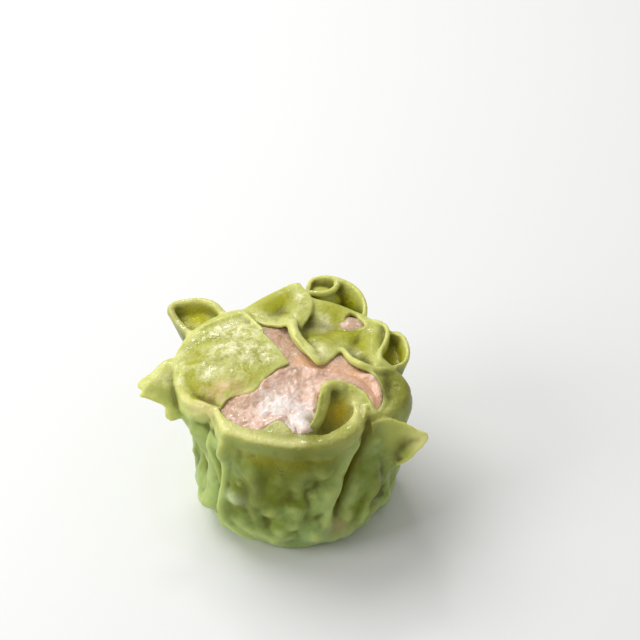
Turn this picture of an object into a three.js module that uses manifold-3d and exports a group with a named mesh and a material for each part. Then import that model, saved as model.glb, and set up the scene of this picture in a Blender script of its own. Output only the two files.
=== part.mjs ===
// A steamed siu mai dumpling: a square of thin green dough, gathered into a pleated cup round minced pork.
// Two pieces: the wrapper, one sheet of dough with its pleats, loops, corners and flaps, and the filling.
// Units are millimetres, +Z is up, +X is the side of the long pointed corner and -Y is the front.
// The origin is the middle of the flat base. Angles are degrees, anticlockwise from +X.
import * as THREE from "three";
import { mergeVertices } from "three/addons/utils/BufferGeometryUtils.js";
import Module from "manifold-3d";

// ---- Driving dimensions ----
const BODY_RADIUS = 18.4; // to the middle of the dough, half-way up the side
const RIM_HEIGHT = 27.2; // of the front rim
const BASE_RADIUS = 13.0; // the flat spot
const FOOT_IN = 2.8; // how far the foot draws in below the side
// and how much more it does so at the front right and the front left
const FOOT_TUCKS = [
  { angle: 308, more: 1.0, wide: 38 },
  { angle: 220, more: 1.3, wide: 24 },
];
const FOOT_HEIGHT = 8.1; // and how high that rounding reaches
const DOUGH = 1.0; // thickness of the sheet on the side
const EDGE_DOUGH = 0.74; // and at its free edges
const CLEARANCE = 0.32; // between the dough and the filling
const MEAT_TOP = 28.6; // height of the filling in the middle
const MEAT_DROP = 1.7; // how far it falls from there to MEAT_REACH
const MEAT_REACH = 16.2;
const MEAT_TILT = 0.055; // its rise towards the back, per millimetre
const LIFT = DOUGH / 2 + CLEARANCE; // of a flap's middle surface above the filling

// ---- Small helpers ----
const radians = (degrees) => (degrees * Math.PI) / 180;
const mix = (a, b, t) => a + (b - a) * t;
const clamp = (t) => Math.min(1, Math.max(0, t));
const smooth = (from, to, x) => {
  const t = clamp((x - from) / (to - from));
  return t * t * (3 - 2 * t);
};
const bell = (x) => Math.exp(-x * x);
const turn = (degrees) => ((((degrees + 180) % 360) + 360) % 360) - 180; // to between -180 and 180
const polar = (degrees, radius, height) =>
  new THREE.Vector3(radius * Math.cos(radians(degrees)), radius * Math.sin(radians(degrees)), height);

// ---- The side of the cup ----
// A crease runs up the side from one angle at the bottom to another at the top, between two heights.
const CREASES = [
  { bottom: 284, top: 309, depth: 2.3, width: 3.4, low: 3.6, high: 27 },
  { bottom: 332, top: 328, depth: 1.5, width: 6.0, low: 2.7, high: 13.5 },
  { bottom: 352, top: 352, depth: 1.4, width: 4.5, low: 5.4, high: 26 },
  { bottom: 28, top: 34, depth: 1.6, width: 4.5, low: 4.5, high: 23.4 },
  { bottom: 50, top: 46, depth: 1.4, width: 4.5, low: 6.3, high: 25 },
  { bottom: 88, top: 86, depth: 1.7, width: 4.5, low: 3.6, high: 27 },
  { bottom: 124, top: 124, depth: 1.6, width: 4.5, low: 5.4, high: 26 },
  { bottom: 154, top: 150, depth: 1.4, width: 5.0, low: 3.6, high: 21.6 },
  { bottom: 203, top: 200, depth: 1.2, width: 3.8, low: 10.8, high: 24.3 },
];
const CREASE_END = 2.4; // a crease fades in and out over this height
// A pleat is a tuck: the dough steps in sharply at its edge and comes back out over its spread (degrees).
const PLEATS = [
  { edge: 228, spread: -11, recess: 1.9 },
  { edge: 212, spread: -11, recess: 1.1 },
  { edge: 181, spread: -16, recess: 1.0 },
  { edge: 108, spread: 18, recess: 1.4 },
  { edge: 14, spread: -18, recess: 1.1 },
];
const PLEAT_FOOT = [2.7, 8.1]; // heights between which a pleat deepens
// A lump is a rounded swelling: out at its middle, so wide (degrees) and so tall.
const LUMPS = [
  { angle: 197, height: 8.6, out: 0.6, wide: 8, tall: 3.2 },
  { angle: 193, height: 15.5, out: -2.3, wide: 20, tall: 8.5 },
  { angle: 355, height: 17, out: 1.4, wide: 24, tall: 8 },
  { angle: 317, height: 20, out: 0.9, wide: 7, tall: 10 },
  { angle: 262, height: 3.2, out: 0.7, wide: 12, tall: 3.6 },
  { angle: 240, height: 13.5, out: 0.5, wide: 12, tall: 9 },
  { angle: 258, height: 11, out: 0.5, wide: 6, tall: 4 },
  { angle: 275, height: 16, out: -0.6, wide: 9, tall: 4 },
  { angle: 288, height: 9, out: 0.5, wide: 5, tall: 4 },
  { angle: 300, height: 3.6, out: 0.6, wide: 9, tall: 3.6 },
  { angle: 66, height: 12.6, out: 0.9, wide: 9, tall: 11 },
  { angle: 138, height: 12.6, out: 1.0, wide: 7, tall: 11 },
];
// Broad unevenness: out, waves round the cup, its phase, and the height over which it turns.
const WAVES = [
  { out: 0.32, round: 3, phase: 0.6, rise: 12 },
  { out: 0.27, round: 5, phase: 0, rise: -4.5 },
  { out: 0.2, round: 9, phase: -1.6, rise: 3.1 },
];

function sideRelief(degrees, height) {
  let out = 0;
  for (const c of CREASES) {
    const path = mix(c.bottom, c.top, clamp(height / RIM_HEIGHT));
    const begun = smooth(c.low - CREASE_END, c.low + CREASE_END, height);
    const ended = smooth(c.high - CREASE_END, c.high + CREASE_END, height);
    out -= c.depth * begun * (1 - ended) * bell(turn(degrees - path) / c.width);
  }
  for (const p of PLEATS) {
    const across = turn(degrees - p.edge) / p.spread;
    const step = smooth(-0.12, 0.06, across) * (1 - smooth(0.1, 1, across));
    out -= p.recess * step * smooth(...PLEAT_FOOT, height);
  }
  for (const l of LUMPS) {
    out += l.out * bell(turn(degrees - l.angle) / l.wide) * bell((height - l.height) / l.tall);
  }
  for (const w of WAVES) out += w.out * Math.cos(w.round * radians(degrees) + w.phase + height / w.rise);
  return out;
}
// How far the middle of the dough stands from the axis at a height on the side.
function sideRadius(degrees, height) {
  const tuck = FOOT_TUCKS.reduce((sum, t) => sum + t.more * bell(turn(degrees - t.angle) / t.wide), 0);
  const foot = (FOOT_IN + tuck) * Math.pow(1 - clamp(height / FOOT_HEIGHT), 2.2);
  return BODY_RADIUS - foot + sideRelief(degrees, height) * smooth(0.4, 5.4, height);
}
// The lines of the sheet lean with the deepest crease, so that it runs along one of them.
const LEAN_SPREAD = 40;
function leaned(degrees, height) {
  const { bottom, top } = CREASES[0];
  const lean = (bottom - top) * (1 - clamp(height / RIM_HEIGHT));
  return degrees + lean * bell(turn(degrees - top) / LEAN_SPREAD);
}

// ---- The rim and the free edge ----
// All round the rim: its angle, the radius and height of its crest, and where the sheet that folds in over
// the filling ends (x, y), with how far that edge stands off the filling.
const RIM = [
  [118, 18.9, 28.8, -9.2, 15.5, 0.4],
  [124, 19.4, 28.8, -6.7, 11.2, 0.1],
  [133, 20.3, 28.6, -3.8, 6.3, 0.1],
  [145, 21.3, 28.2, -1.4, 1.5, 0.2],
  [159, 21.7, 27.5, -0.8, 0.0, 0.3],
  [172, 21.4, 26.8, -2.6, -1.2, 0.1],
  [184, 20.6, 26.1, -5.0, -3.6, 0.0],
  [194, 19.9, 25.9, -7.2, -6.4, 0.0],
  [204, 18.4, 26.4, -9.6, -8.1, 0.0],
  [214, 17.2, 26.9, -11.0, -9.9, 0.1],
  [223, 17.8, 27.2, -10.9, -11.7, 0.4],
  [230, 18.8, 27.3, -9.2, -13.1, 0.6],
  [243, 18.3, 27.1, -5.9, -13.6, 0.5],
  [257, 18.2, 27.0, -2.5, -12.2, 0.9],
  [268, 18.6, 26.9, 0.3, -14.5, 0.4],
  [277, 18.9, 27.0, 2.4, -14.2, 0.9],
  [285, 19.2, 27.1, 3.4, -11.3, 1.4],
  [293, 19.1, 27.2, 4.1, -7.4, 1.2],
  [301, 18.8, 27.3, 6.0, -4.6, 0.9],
  [309, 18.2, 27.4, 9.8, -4.6, 0.8],
  [317, 17.8, 27.3, 12.7, -6.8, 1.1],
  [325, 18.3, 27.0, 14.4, -10.2, 0.9],
  [335, 19.8, 27.2, 15.5, -7.6, 0.4],
  [345, 20.6, 27.4, 15.0, -3.9, 0.7],
  [354, 20.0, 27.6, 13.2, -1.3, 0.8],
  [4, 17.4, 28.0, 10.8, 0.4, 0.5],
  [15, 16.1, 28.4, 9.0, 3.4, 0.2],
  [26, 17.2, 28.7, 8.5, 5.6, 0.0],
  [37, 19.4, 28.9, 7.9, 4.6, 0.0],
  [47, 19.2, 29.1, 6.6, 1.6, 0.1],
  [57, 18.7, 29.3, 5.2, -0.3, 0.2],
  [67, 18.5, 29.6, 3.8, -0.5, 0.4],
  [78, 18.6, 29.9, 1.7, 2.1, 0.7],
  [87, 19.8, 30.2, 0.2, 4.7, 0.9],
  [95, 20.3, 30.4, -0.7, 8.3, 0.8],
  [103, 19.6, 29.9, -2.7, 10.3, 0.4],
  [111, 19.1, 29.3, -5.9, 11.7, 0.3],
];

// The rim at a share of the way round, on a smooth closed curve through the rows.
function rimAt(share) {
  const place = share * RIM.length;
  const k = Math.floor(place);
  const t = place - k;
  const rows = [-1, 0, 1, 2].map((d) => [...RIM[(k + d + RIM.length) % RIM.length]]);
  rows.forEach((row) => (row[0] = rows[1][0] + turn(row[0] - rows[1][0])));
  const [degrees, radius, height, x, y, lift] = rows[0].map((_, column) => {
    const [p, q, r, s] = rows.map((row) => row[column]);
    return q + 0.5 * t * (r - p + t * (2 * p - 5 * q + 4 * r - s + t * (3 * (q - r) + s - p)));
  });
  return { degrees, radius, height, x, y, lift };
}

// A point on the middle of the sheet's side, on the line up to a place on the rim, moved inwards by inset.
const UNDER_CREST = 1.45; // the side ends this far below the crest
function sidePoint(rim, height, inset = 0) {
  const degrees = leaned(rim.degrees, height);
  const pull = smooth(0.5, 1, height / (rim.height - UNDER_CREST));
  return polar(degrees, mix(sideRadius(degrees, height), rim.radius, pull) - inset, height);
}

// The rim at an angle, and from it the radius of the middle of the dough there, at any height to the crest.
function rimFor(degrees) {
  const after = (row) => turn(degrees - RIM[row % RIM.length][0]);
  const k = RIM.findIndex((_, row) => after(row) >= 0 && after(row + 1) < 0);
  return rimAt((k + after(k) / (after(k) - after(k + 1))) / RIM.length);
}
function wallRadius(degrees, height) {
  const rim = rimFor(degrees);
  const p = sidePoint(rim, Math.min(height, rim.height - UNDER_CREST));
  return Math.hypot(p.x, p.y);
}

// ---- The top of the filling ----
// A hollow is a dent in the top, at an angle and a radius, so deep and so wide. A negative one is a swelling.
const HOLLOWS = [
  { angle: 303, radius: 13.9, depth: 4.1, width: 4.7 }, // the spoon at the front right
  { angle: 70, radius: 11.7, depth: 1.2, width: 5.0 }, // the panel at the back
  { angle: 24, radius: 12.6, depth: 0.8, width: 3.6 }, // the right flap
  { angle: 168, radius: 9.5, depth: -0.7, width: 8.0 }, // under the left flap
];
function meatTop(x, y) {
  let height = MEAT_TOP - MEAT_DROP * Math.pow(Math.hypot(x, y) / MEAT_REACH, 2) + y * MEAT_TILT;
  for (const h of HOLLOWS) {
    const middle = polar(h.angle, h.radius, 0);
    height -= h.depth * bell(Math.pow(Math.hypot(x - middle.x, y - middle.y) / h.width, 1.4));
  }
  return height;
}

// ---- Making solids ----
const wasm = await Module();
wasm.setup();
// A manifold-3d solid from a list of coordinates and triangles, its shared points merged.
function solid(positions, faces) {
  const raw = new THREE.BufferGeometry();
  raw.setAttribute("position", new THREE.Float32BufferAttribute(positions, 3));
  raw.setIndex(faces);
  const merged = mergeVertices(raw, 1e-4);
  const kept = [];
  for (let i = 0; i < merged.index.count; i += 3) {
    const [a, b, c] = [0, 1, 2].map((k) => merged.index.getX(i + k));
    if (a !== b && b !== c && c !== a) kept.push(a, b, c);
  }
  const mesh = new wasm.Mesh({
    numProp: 3,
    vertProperties: merged.attributes.position.array,
    triVerts: new Uint32Array(kept),
  });
  return new wasm.Manifold(mesh);
}

// A smooth curve through a few points, sampled evenly in its own parameter.
function alongCurve(points, count) {
  const curve = new THREE.CatmullRomCurve3(points, false, "centripetal");
  return Array.from({ length: count + 1 }, (_, i) => curve.getPoint(i / count));
}
// A grid of points: each rail runs along the sheet, and smooth curves join the rails across it.
function loft(rails, along, across) {
  const rows = rails.map((rail) => alongCurve(rail, along));
  return Array.from({ length: along + 1 }, (_, i) => alongCurve(rows.map((row) => row[i]), across));
}

// A closed sheet of dough round a grid of middle points, thinner towards the last point of each line.
// Both faces are split into triangles alike. cup: the first line follows the last one, every line starts on
// the axis, and what lies at the level of the base is flat.
function sheet(grid, edge, cup = false) {
  const lines = grid.length;
  const stops = grid[0].length;
  const lastLine = cup ? lines : lines - 1;
  const neighbour = (i, step) => {
    return cup ? (i + step + lines) % lines : Math.min(Math.max(i + step, 0), lines - 1);
  };
  const normalAt = (i, j) => {
    if (cup && grid[i][j].z < DOUGH / 2 + 1e-6) return new THREE.Vector3(0, 0, -1);
    const along = grid[neighbour(i, 1)][j].clone().sub(grid[neighbour(i, -1)][j]);
    const across = grid[i][Math.min(j + 1, stops - 1)].clone().sub(grid[i][Math.max(j - 1, 0)]);
    return along.cross(across).normalize();
  };
  const positions = [];
  for (const side of [1, -1]) {
    for (let i = 0; i < lines; i++) {
      for (let j = 0; j < stops; j++) {
        const thickness = mix(DOUGH, edge, smooth(0.55, 1, j / (stops - 1)));
        const p = grid[i][j].clone().addScaledVector(normalAt(i, j), (side * thickness) / 2);
        positions.push(p.x, p.y, Math.max(p.z, 0));
      }
    }
  }
  const faces = [];
  const quad = (a, b, c, d) => faces.push(a, b, c, a, c, d);
  const outer = (i, j) => (i % lines) * stops + j;
  const inner = (i, j) => lines * stops + outer(i, j);
  for (let i = 0; i < lastLine; i++) {
    for (let j = 0; j < stops - 1; j++) {
      quad(outer(i, j), outer(i + 1, j), outer(i + 1, j + 1), outer(i, j + 1));
      quad(inner(i, j), inner(i, j + 1), inner(i + 1, j + 1), inner(i + 1, j));
    }
    const end = stops - 1;
    quad(outer(i, end), outer(i + 1, end), inner(i + 1, end), inner(i, end));
    if (!cup) quad(outer(i, 0), inner(i, 0), inner(i + 1, 0), outer(i + 1, 0));
  }
  for (let j = 0; j < stops - 1 && !cup; j++) {
    const last = lines - 1;
    quad(outer(0, j), outer(0, j + 1), inner(0, j + 1), inner(0, j));
    quad(outer(last, j + 1), outer(last, j), inner(last, j), inner(last, j + 1));
  }
  return solid(positions, faces);
}

// A stack of closed rings of points, one for each share of the height from 0 to 1, capped at both ends.
function stack(ringAt, steps) {
  const rings = Array.from({ length: steps + 1 }, (_, j) => ringAt(j / steps));
  const around = rings[0].length;
  const middles = [rings[0], rings[steps]].map((ring) => {
    return ring.reduce((sum, p) => sum.add(p), new THREE.Vector3()).divideScalar(around);
  });
  const positions = [...rings.flat(), ...middles].flatMap((p) => [p.x, p.y, p.z]);
  const [bottom, top] = [rings.length * around, rings.length * around + 1];
  const faces = [];
  for (let i = 0; i < around; i++) {
    const next = (i + 1) % around;
    for (let j = 0; j < steps; j++) {
      const [a, b, c, d] = [j * around + i, j * around + next, (j + 1) * around + next, (j + 1) * around + i];
      faces.push(a, b, c, a, c, d);
    }
    faces.push(bottom, next, i, top, steps * around + i, steps * around + next);
  }
  return solid(positions, faces);
}

// The largest body of a solid, without loose scraps.
const largest = (whole) => whole.decompose().sort((a, b) => b.volume() - a.volume())[0];

// ---- Wrapper ----
const LINES_A_ROW = 2.25; // lines of the main sheet for each row of the rim
const UP = 10; // steps up its side
const IN = 7; // and inwards from the crest
const ROLL = 0.3; // how far the dough rises behind the crest before it lies down
const ROLL_IN = 4.9; // and over what distance it does so

// Rolled ridges in the folded-in dough, through points [x, y, height of the ridge].
const RIDGES = [
  // at the back
  { width: 1.5, through: [[0.4, 19.4, 1.35], [-0.5, 10.8, 1.5], [0.5, 4.5, 1.1], [3.6, 0.2, 0.5]] },
  // beside the spoon
  { width: 1.1, through: [[2.4, -15.8, 0.2], [3.9, -10.8, 0.7], [5.4, -6.6, 0.6]] },
];
function ridgeAt(x, y) {
  let best = 0;
  for (const { width, through } of RIDGES) {
    for (let k = 0; k + 1 < through.length; k++) {
      const [ax, ay, ah] = through[k];
      const [bx, by, bh] = through[k + 1];
      const t = clamp(((x - ax) * (bx - ax) + (y - ay) * (by - ay)) / ((bx - ax) ** 2 + (by - ay) ** 2));
      const away = Math.hypot(x - mix(ax, bx, t), y - mix(ay, by, t));
      best = Math.max(best, mix(ah, bh, t) * bell(away / width));
    }
  }
  return best;
}

// The main sheet: flat base, rounded foot, creased side, crest of the rim, and in over the filling.
function mainSheet() {
  const lines = Math.round(RIM.length * LINES_A_ROW);
  const grid = [];
  for (let i = 0; i < lines; i++) {
    const rim = rimAt(i / lines);
    const foot = leaned(rim.degrees, 0);
    const line = [0, 0.55, 1].map((share) => polar(foot, BASE_RADIUS * share, DOUGH / 2));
    for (let j = 0; j <= UP; j++) {
      line.push(sidePoint(rim, mix(DOUGH / 2 + 0.22, rim.height - UNDER_CREST, Math.pow(j / UP, 1.2))));
    }
    const crest = polar(rim.degrees, rim.radius - DOUGH / 2, rim.height - 0.27);
    const inward = new THREE.Vector3(rim.x - crest.x, rim.y - crest.y, 0);
    line.push(crest);
    for (let j = 1; j <= IN; j++) {
      const share = Math.pow(j / IN, 0.9);
      const p = crest.clone().addScaledVector(inward, share);
      const lying = meatTop(p.x, p.y) + LIFT + ridgeAt(p.x, p.y) + rim.lift * share ** 4;
      const laid = smooth(DOUGH / 2, ROLL_IN, share * inward.length());
      p.z = Math.max(mix(rim.height + ROLL, lying, laid), lying);
      line.push(p);
    }
    grid.push(line);
  }
  return sheet(grid, EDGE_DOUGH, true);
}

// A loop is a pleat that stands out from the side. Its two layers are pressed together below and open into a
// pocket above its floor. Its rim is an outline [degrees, radius, height] that starts and ends in the side.
const LOOPS = [
  {
    foot: { angle: 137, height: 7.6 },
    floor: 21.5,
    rim: [
      [127, 19.3, 28.8],
      [127, 22.4, 28.9],
      [130, 25.2, 28.9],
      [135, 27.2, 28.8],
      [140, 28.7, 28.6],
      [144, 28.2, 28.4],
      [148, 25.0, 28.2],
      [152, 21.2, 28.0],
    ],
  },
  {
    foot: { angle: 66, height: 6.4 },
    floor: 22.5,
    rim: [
      [45, 18.7, 28.5],
      [52, 21.9, 29.1],
      [57, 23.3, 29.7],
      [63, 24.4, 30.1],
      [70, 24.8, 30.4],
      [78, 24.6, 30.4],
      [83, 23.3, 30.2],
      [84, 18.9, 30.0],
    ],
  },
  {
    foot: { angle: 18, height: 8.2 },
    floor: 20.5,
    rim: [
      [2, 17.3, 27.9],
      [5, 20.0, 28.1],
      [12, 21.2, 28.4],
      [19, 21.7, 28.6],
      [27, 21.5, 28.7],
      [34, 18.7, 28.8],
    ],
  },
];
const PINCHED = 0.3; // how far a loop spreads round the cup at its foot, as a share of its rim
const LEAN_OUT = 1.6; // the loop stands out by this power of the share of its height
const RIM_STEPS = 11; // along the outline
const BACK_STEPS = 4; // and from its end back to its start through the dough of the side
const OVER = 1.5; // how far the pocket's cutter runs past the rim and into the dough of the side
function loop({ foot, floor, rim }) {
  const outline = alongCurve(rim.map((p) => new THREE.Vector3(...p)), RIM_STEPS);
  // The loop's outline at a share of its height, narrower by inset.
  const ring = (share, inset) => {
    const over = inset > 0 && share >= 1 ? OVER : 0;
    const spread = mix(PINCHED, 1, Math.pow(share, 0.8));
    const points = outline.map((p) => {
      const degrees = mix(foot.angle, p.x, spread);
      const height = mix(foot.height, p.z, share);
      return polar(degrees, mix(wallRadius(degrees, height), p.y, Math.pow(share, LEAN_OUT)), height + over);
    });
    const [from, to] = [outline[RIM_STEPS], outline[0]].map((p) => mix(foot.angle, p.x, spread));
    const outer = points.map((p, i) => {
      const [before, after] = [points[Math.max(i - 1, 0)], points[Math.min(i + 1, RIM_STEPS)]];
      const inwards = new THREE.Vector3(before.y - after.y, after.x - before.x, 0).normalize();
      return p.clone().addScaledVector(inwards, inset);
    });
    for (let i = 1; i <= BACK_STEPS; i++) {
      const back = i / (BACK_STEPS + 1);
      const degrees = mix(from, to, back);
      const height = mix(points[RIM_STEPS].z, points[0].z, back);
      outer.push(polar(degrees, wallRadius(degrees, height) - DOUGH / 4 - (inset > 0 ? OVER : 0), height));
    }
    return outer;
  };
  const top = Math.max(...rim.map((p) => p[2]));
  const floorShare = (floor - foot.height) / (top - foot.height);
  return {
    fold: stack((share) => ring(share, 0), 6),
    pocket: stack((share) => ring(mix(floorShare, 1, share), EDGE_DOUGH), 3), // cut out of the fold
  };
}

// Corners of the square sheet that stand off the side, between rails of [degrees, radius, height].
const CORNER_EDGE = 0.65;
// The long one at the right grows out of the band of dough beside the deep crease.
const LONG_CORNER = [
  [[318, 17.9, 26.2], [318, 18.3, 19.8], [318, 18.0, 13.5], [318, 17.4, 8.1]],
  [[324, 18.9, 26.5], [324, 19.7, 20.3], [323, 19.0, 14.4], [322, 18.0, 8.6]],
  [[329, 21.4, 25.7], [330, 22.0, 21.2], [328, 21.4, 17.9], [329, 18.8, 12.3]],
  [[331, 23.6, 24.9], [333, 26.3, 23.2], [331, 26.0, 21.9], [327, 24.4, 19.3], [325, 22.4, 17.6]],
];
// The short one at the left has a second small point.
const SHORT_CORNER = [
  [[162, 20.4, 25.8], [171, 20.2, 25.2], [183, 19.2, 23.6], [198, 17.7, 20.8]],
  [[166, 21.7, 25.9], [173, 22.7, 25.2], [184, 21.6, 23.6], [195, 18.9, 21.2]],
  [
    [170, 22.3, 25.9],
    [174, 24.4, 25.3],
    [178, 27.2, 24.3],
    [186, 24.9, 23.3],
    [191, 23.1, 21.4],
    [194, 21.5, 20.8],
  ],
];
function corner(rails, along, across) {
  return sheet(loft(rails.map((rail) => rail.map((p) => polar(...p))), along, across), CORNER_EDGE);
}

// The small gap at the back right through which the filling shows.
const GAP = { angle: 51, radius: 16.4, across: 4.2, along: 3.0, height: 5.4, below: 0.1 };
function gap() {
  const cutter = new THREE.CylinderGeometry(1, 0.75, GAP.height, 12);
  cutter.deleteAttribute("normal");
  cutter.deleteAttribute("uv");
  cutter.rotateX(Math.PI / 2);
  cutter.scale(GAP.along / 2, GAP.across / 2, 1);
  cutter.rotateZ(radians(GAP.angle));
  const middle = polar(GAP.angle, GAP.radius, 0);
  cutter.translate(middle.x, middle.y, meatTop(middle.x, middle.y) + GAP.height / 2 + GAP.below);
  return solid([...cutter.attributes.position.array], [...cutter.index.array]);
}

function makeWrapper() {
  const loops = LOOPS.map(loop).map(({ fold, pocket }) => fold.subtract(pocket));
  const pieces = [...loops, corner(LONG_CORNER, 8, 7), corner(SHORT_CORNER, 10, 5)];
  return largest(pieces.reduce((made, piece) => made.add(piece), mainSheet()).subtract(gap()));
}

// ---- Filling ----
// The core fills the cup to its clearance. Its top is lumpy with minced meat, as far as the flaps leave room.
const MEAT_AROUND = 60;
const MEAT_SHOULDER = 23.0; // where the side of the core turns in to its top
const MEAT_SIDE = [3.1, 5.4, 9.0, 12.6, 16.2, 19.8, MEAT_SHOULDER]; // heights of the rings up the side
const MEAT_RINGS = 12; // rings from there to the middle of the top
const MEAT_RADIUS = 17.3; // the core is no wider than this where the rim leans out
const MEAT_ROUNDING = 2.3; // how far the edge of the top falls away
const KNOB = { angle: 51, radius: 16.2, out: 1.7, width: 2.2 }; // its swelling into the gap at the back right
const CRUMB = 0.29; // height of the lumps
const CRUMB_SIZE = 0.8; // distance over which they turn, in millimetres for each radian

function mince(x, y) {
  const [u, v] = [x / CRUMB_SIZE, y / CRUMB_SIZE];
  const coarse = Math.sin(u + 1.7 * Math.sin(0.7 * v)) * Math.sin(0.9 * v + 1.3 * Math.sin(0.65 * u));
  const fine = Math.sin(1.85 * u + 0.9 * v) * Math.sin(1.7 * v - 0.7 * u + 0.7);
  return CRUMB * (0.65 * coarse + 0.35 * fine - 1);
}

function makeFilling() {
  const positions = [];
  const faces = [];
  const floor = DOUGH + CLEARANCE;
  const inset = DOUGH / 2 + CLEARANCE + 0.2;
  const knob = polar(KNOB.angle, KNOB.radius, 0);
  const placeAt = (i) => rimAt(((i + MEAT_AROUND) % MEAT_AROUND) / MEAT_AROUND);
  for (let i = 0; i < MEAT_AROUND; i++) {
    const rim = placeAt(i);
    const nearby = [-0.9, -0.5, 0.5, 0.9].map((d) => placeAt(i + d));
    const foot = leaned(rim.degrees, 0);
    const line = [polar(foot, 0, floor), polar(foot, BASE_RADIUS - 0.7, floor)];
    for (const height of MEAT_SIDE) {
      const radii = nearby.map((n) => Math.hypot(...sidePoint(n, height, inset).setZ(0)));
      const p = sidePoint(rim, height, inset).setZ(0);
      line.push(p.clampLength(0, Math.min(MEAT_RADIUS, ...radii)).setZ(height));
    }
    const shoulder = line.at(-1);
    for (let j = 1; j <= MEAT_RINGS; j++) {
      const share = 1 - Math.pow(j / MEAT_RINGS, 1.1);
      const p = new THREE.Vector3(shoulder.x * share, shoulder.y * share, 0);
      const swelling = KNOB.out * bell(Math.hypot(p.x - knob.x, p.y - knob.y) / KNOB.width);
      p.z = meatTop(p.x, p.y) + mince(p.x, p.y) + swelling - MEAT_ROUNDING * Math.pow(share, 14);
      line.push(p);
    }
    line.forEach((p) => positions.push(p.x, p.y, p.z));
  }
  const stops = positions.length / 3 / MEAT_AROUND;
  for (let i = 0; i < MEAT_AROUND; i++) {
    const next = (i + 1) % MEAT_AROUND;
    for (let j = 0; j < stops - 1; j++) {
      const [a, b] = [i * stops + j, next * stops + j];
      faces.push(a, b, b + 1, a, b + 1, a + 1);
    }
  }
  return solid(positions, faces);
}

// ---- The dumpling ----
function named(name, made, color, roughness) {
  const { vertProperties, triVerts } = made.getMesh();
  const geometry = new THREE.BufferGeometry();
  geometry.setAttribute("position", new THREE.BufferAttribute(vertProperties, 3));
  geometry.setIndex(new THREE.BufferAttribute(triVerts, 1));
  const mesh = new THREE.Mesh(geometry, new THREE.MeshStandardMaterial({ color, roughness, metalness: 0 }));
  mesh.name = name;
  return mesh;
}

const dumpling = new THREE.Group();
dumpling.add(named("wrapper", makeWrapper(), 0x9aae4e, 0.35));
dumpling.add(named("filling", makeFilling(), 0xdcb6a4, 0.45));
export default dumpling;
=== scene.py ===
# %% [markdown]
# # A steamed siu mai dumpling
# A siu mai is a square of thin green dough, gathered by hand into a cup round minced pork. This lesson
# models its two pieces, the wrapper and the filling, paints wet dough and moist meat on them with shader
# nodes, and lights them like food on a white table. All shaping is worked out in millimetres and turned
# into metres when a mesh gets its points.

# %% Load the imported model
import math

import bpy
import numpy as np
from mathutils import Matrix, Vector
from mathutils.kdtree import KDTree


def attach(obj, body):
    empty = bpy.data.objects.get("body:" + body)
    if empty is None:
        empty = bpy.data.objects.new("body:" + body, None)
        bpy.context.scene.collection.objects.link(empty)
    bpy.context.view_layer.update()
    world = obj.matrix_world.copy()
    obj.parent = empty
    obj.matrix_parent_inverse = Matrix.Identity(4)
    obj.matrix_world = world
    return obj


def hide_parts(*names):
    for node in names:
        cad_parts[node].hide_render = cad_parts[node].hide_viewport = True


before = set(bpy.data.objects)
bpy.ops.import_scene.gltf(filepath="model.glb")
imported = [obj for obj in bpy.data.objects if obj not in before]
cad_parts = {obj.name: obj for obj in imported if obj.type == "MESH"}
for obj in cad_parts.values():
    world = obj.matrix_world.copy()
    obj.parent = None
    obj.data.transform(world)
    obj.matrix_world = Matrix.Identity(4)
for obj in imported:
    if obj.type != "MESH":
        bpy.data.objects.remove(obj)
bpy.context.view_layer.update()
MM = 0.001

# %% [markdown]
# ## Camera
# The dumpling is seen from the front and well above, as food on a table is. A long lens keeps its shape
# free of perspective. The camera could be shifted to put the dumpling off the middle of the frame, but a
# small turn does the same and leaves the lens plain, so the turn is worked out here from where the
# dumpling's middle stands in the frame.

# %% Camera
FRAME = 640  # pixels across
MIDDLE_IN_FRAME = (294, 432.6)  # where the middle of the cup stands, from the left and from the top
FOCAL = 2750  # pixels
SENSOR = 36  # mm
ELEVATION = math.radians(42)
DISTANCE = 495  # mm from the camera to the middle of the cup
MIDDLE_HEIGHT = 13.5  # mm
FARTHEST = 10  # metres that the camera sees

aside = (FRAME / 2 - MIDDLE_IN_FRAME[0]) / FOCAL
below = (MIDDLE_IN_FRAME[1] - FRAME / 2) / FOCAL
ray = math.sqrt(1 + aside**2 + below**2)
yaw = -math.asin(aside / ray / math.cos(ELEVATION))
tilt = math.atan2(-math.sin(ELEVATION), math.cos(ELEVATION) * math.cos(yaw)) - math.atan2(-1, -below)
bpy.ops.object.camera_add()
camera = bpy.context.object
camera.name = "camera"
camera.data.sensor_width = SENSOR
camera.data.lens = FOCAL * SENSOR / FRAME
camera.data.clip_end = FARTHEST
camera_height = MIDDLE_HEIGHT + DISTANCE * math.sin(ELEVATION)
camera.location = Vector((0, -DISTANCE * math.cos(ELEVATION), camera_height)) * MM
camera.rotation_euler = (Matrix.Rotation(yaw, 3, "Z") @ Matrix.Rotation(tilt, 3, "X")).to_euler()
bpy.context.scene.camera = camera
print("lens", round(camera.data.lens, 1), "mm, tilt", round(math.degrees(tilt), 2), "degrees")

# %% [markdown]
# ## Light
# Wet dough shows its shape by what it mirrors. A large soft light behind and to the left lays broad sheen
# on the flaps, and a smaller one beside it adds the sharp glints. A wide one at the left front lights the
# near side from aside, so that its folds show. A pale surrounding fills the shadows, and only a soft one
# falls to the front right. The colours are shown as they are, without a film look.

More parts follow.
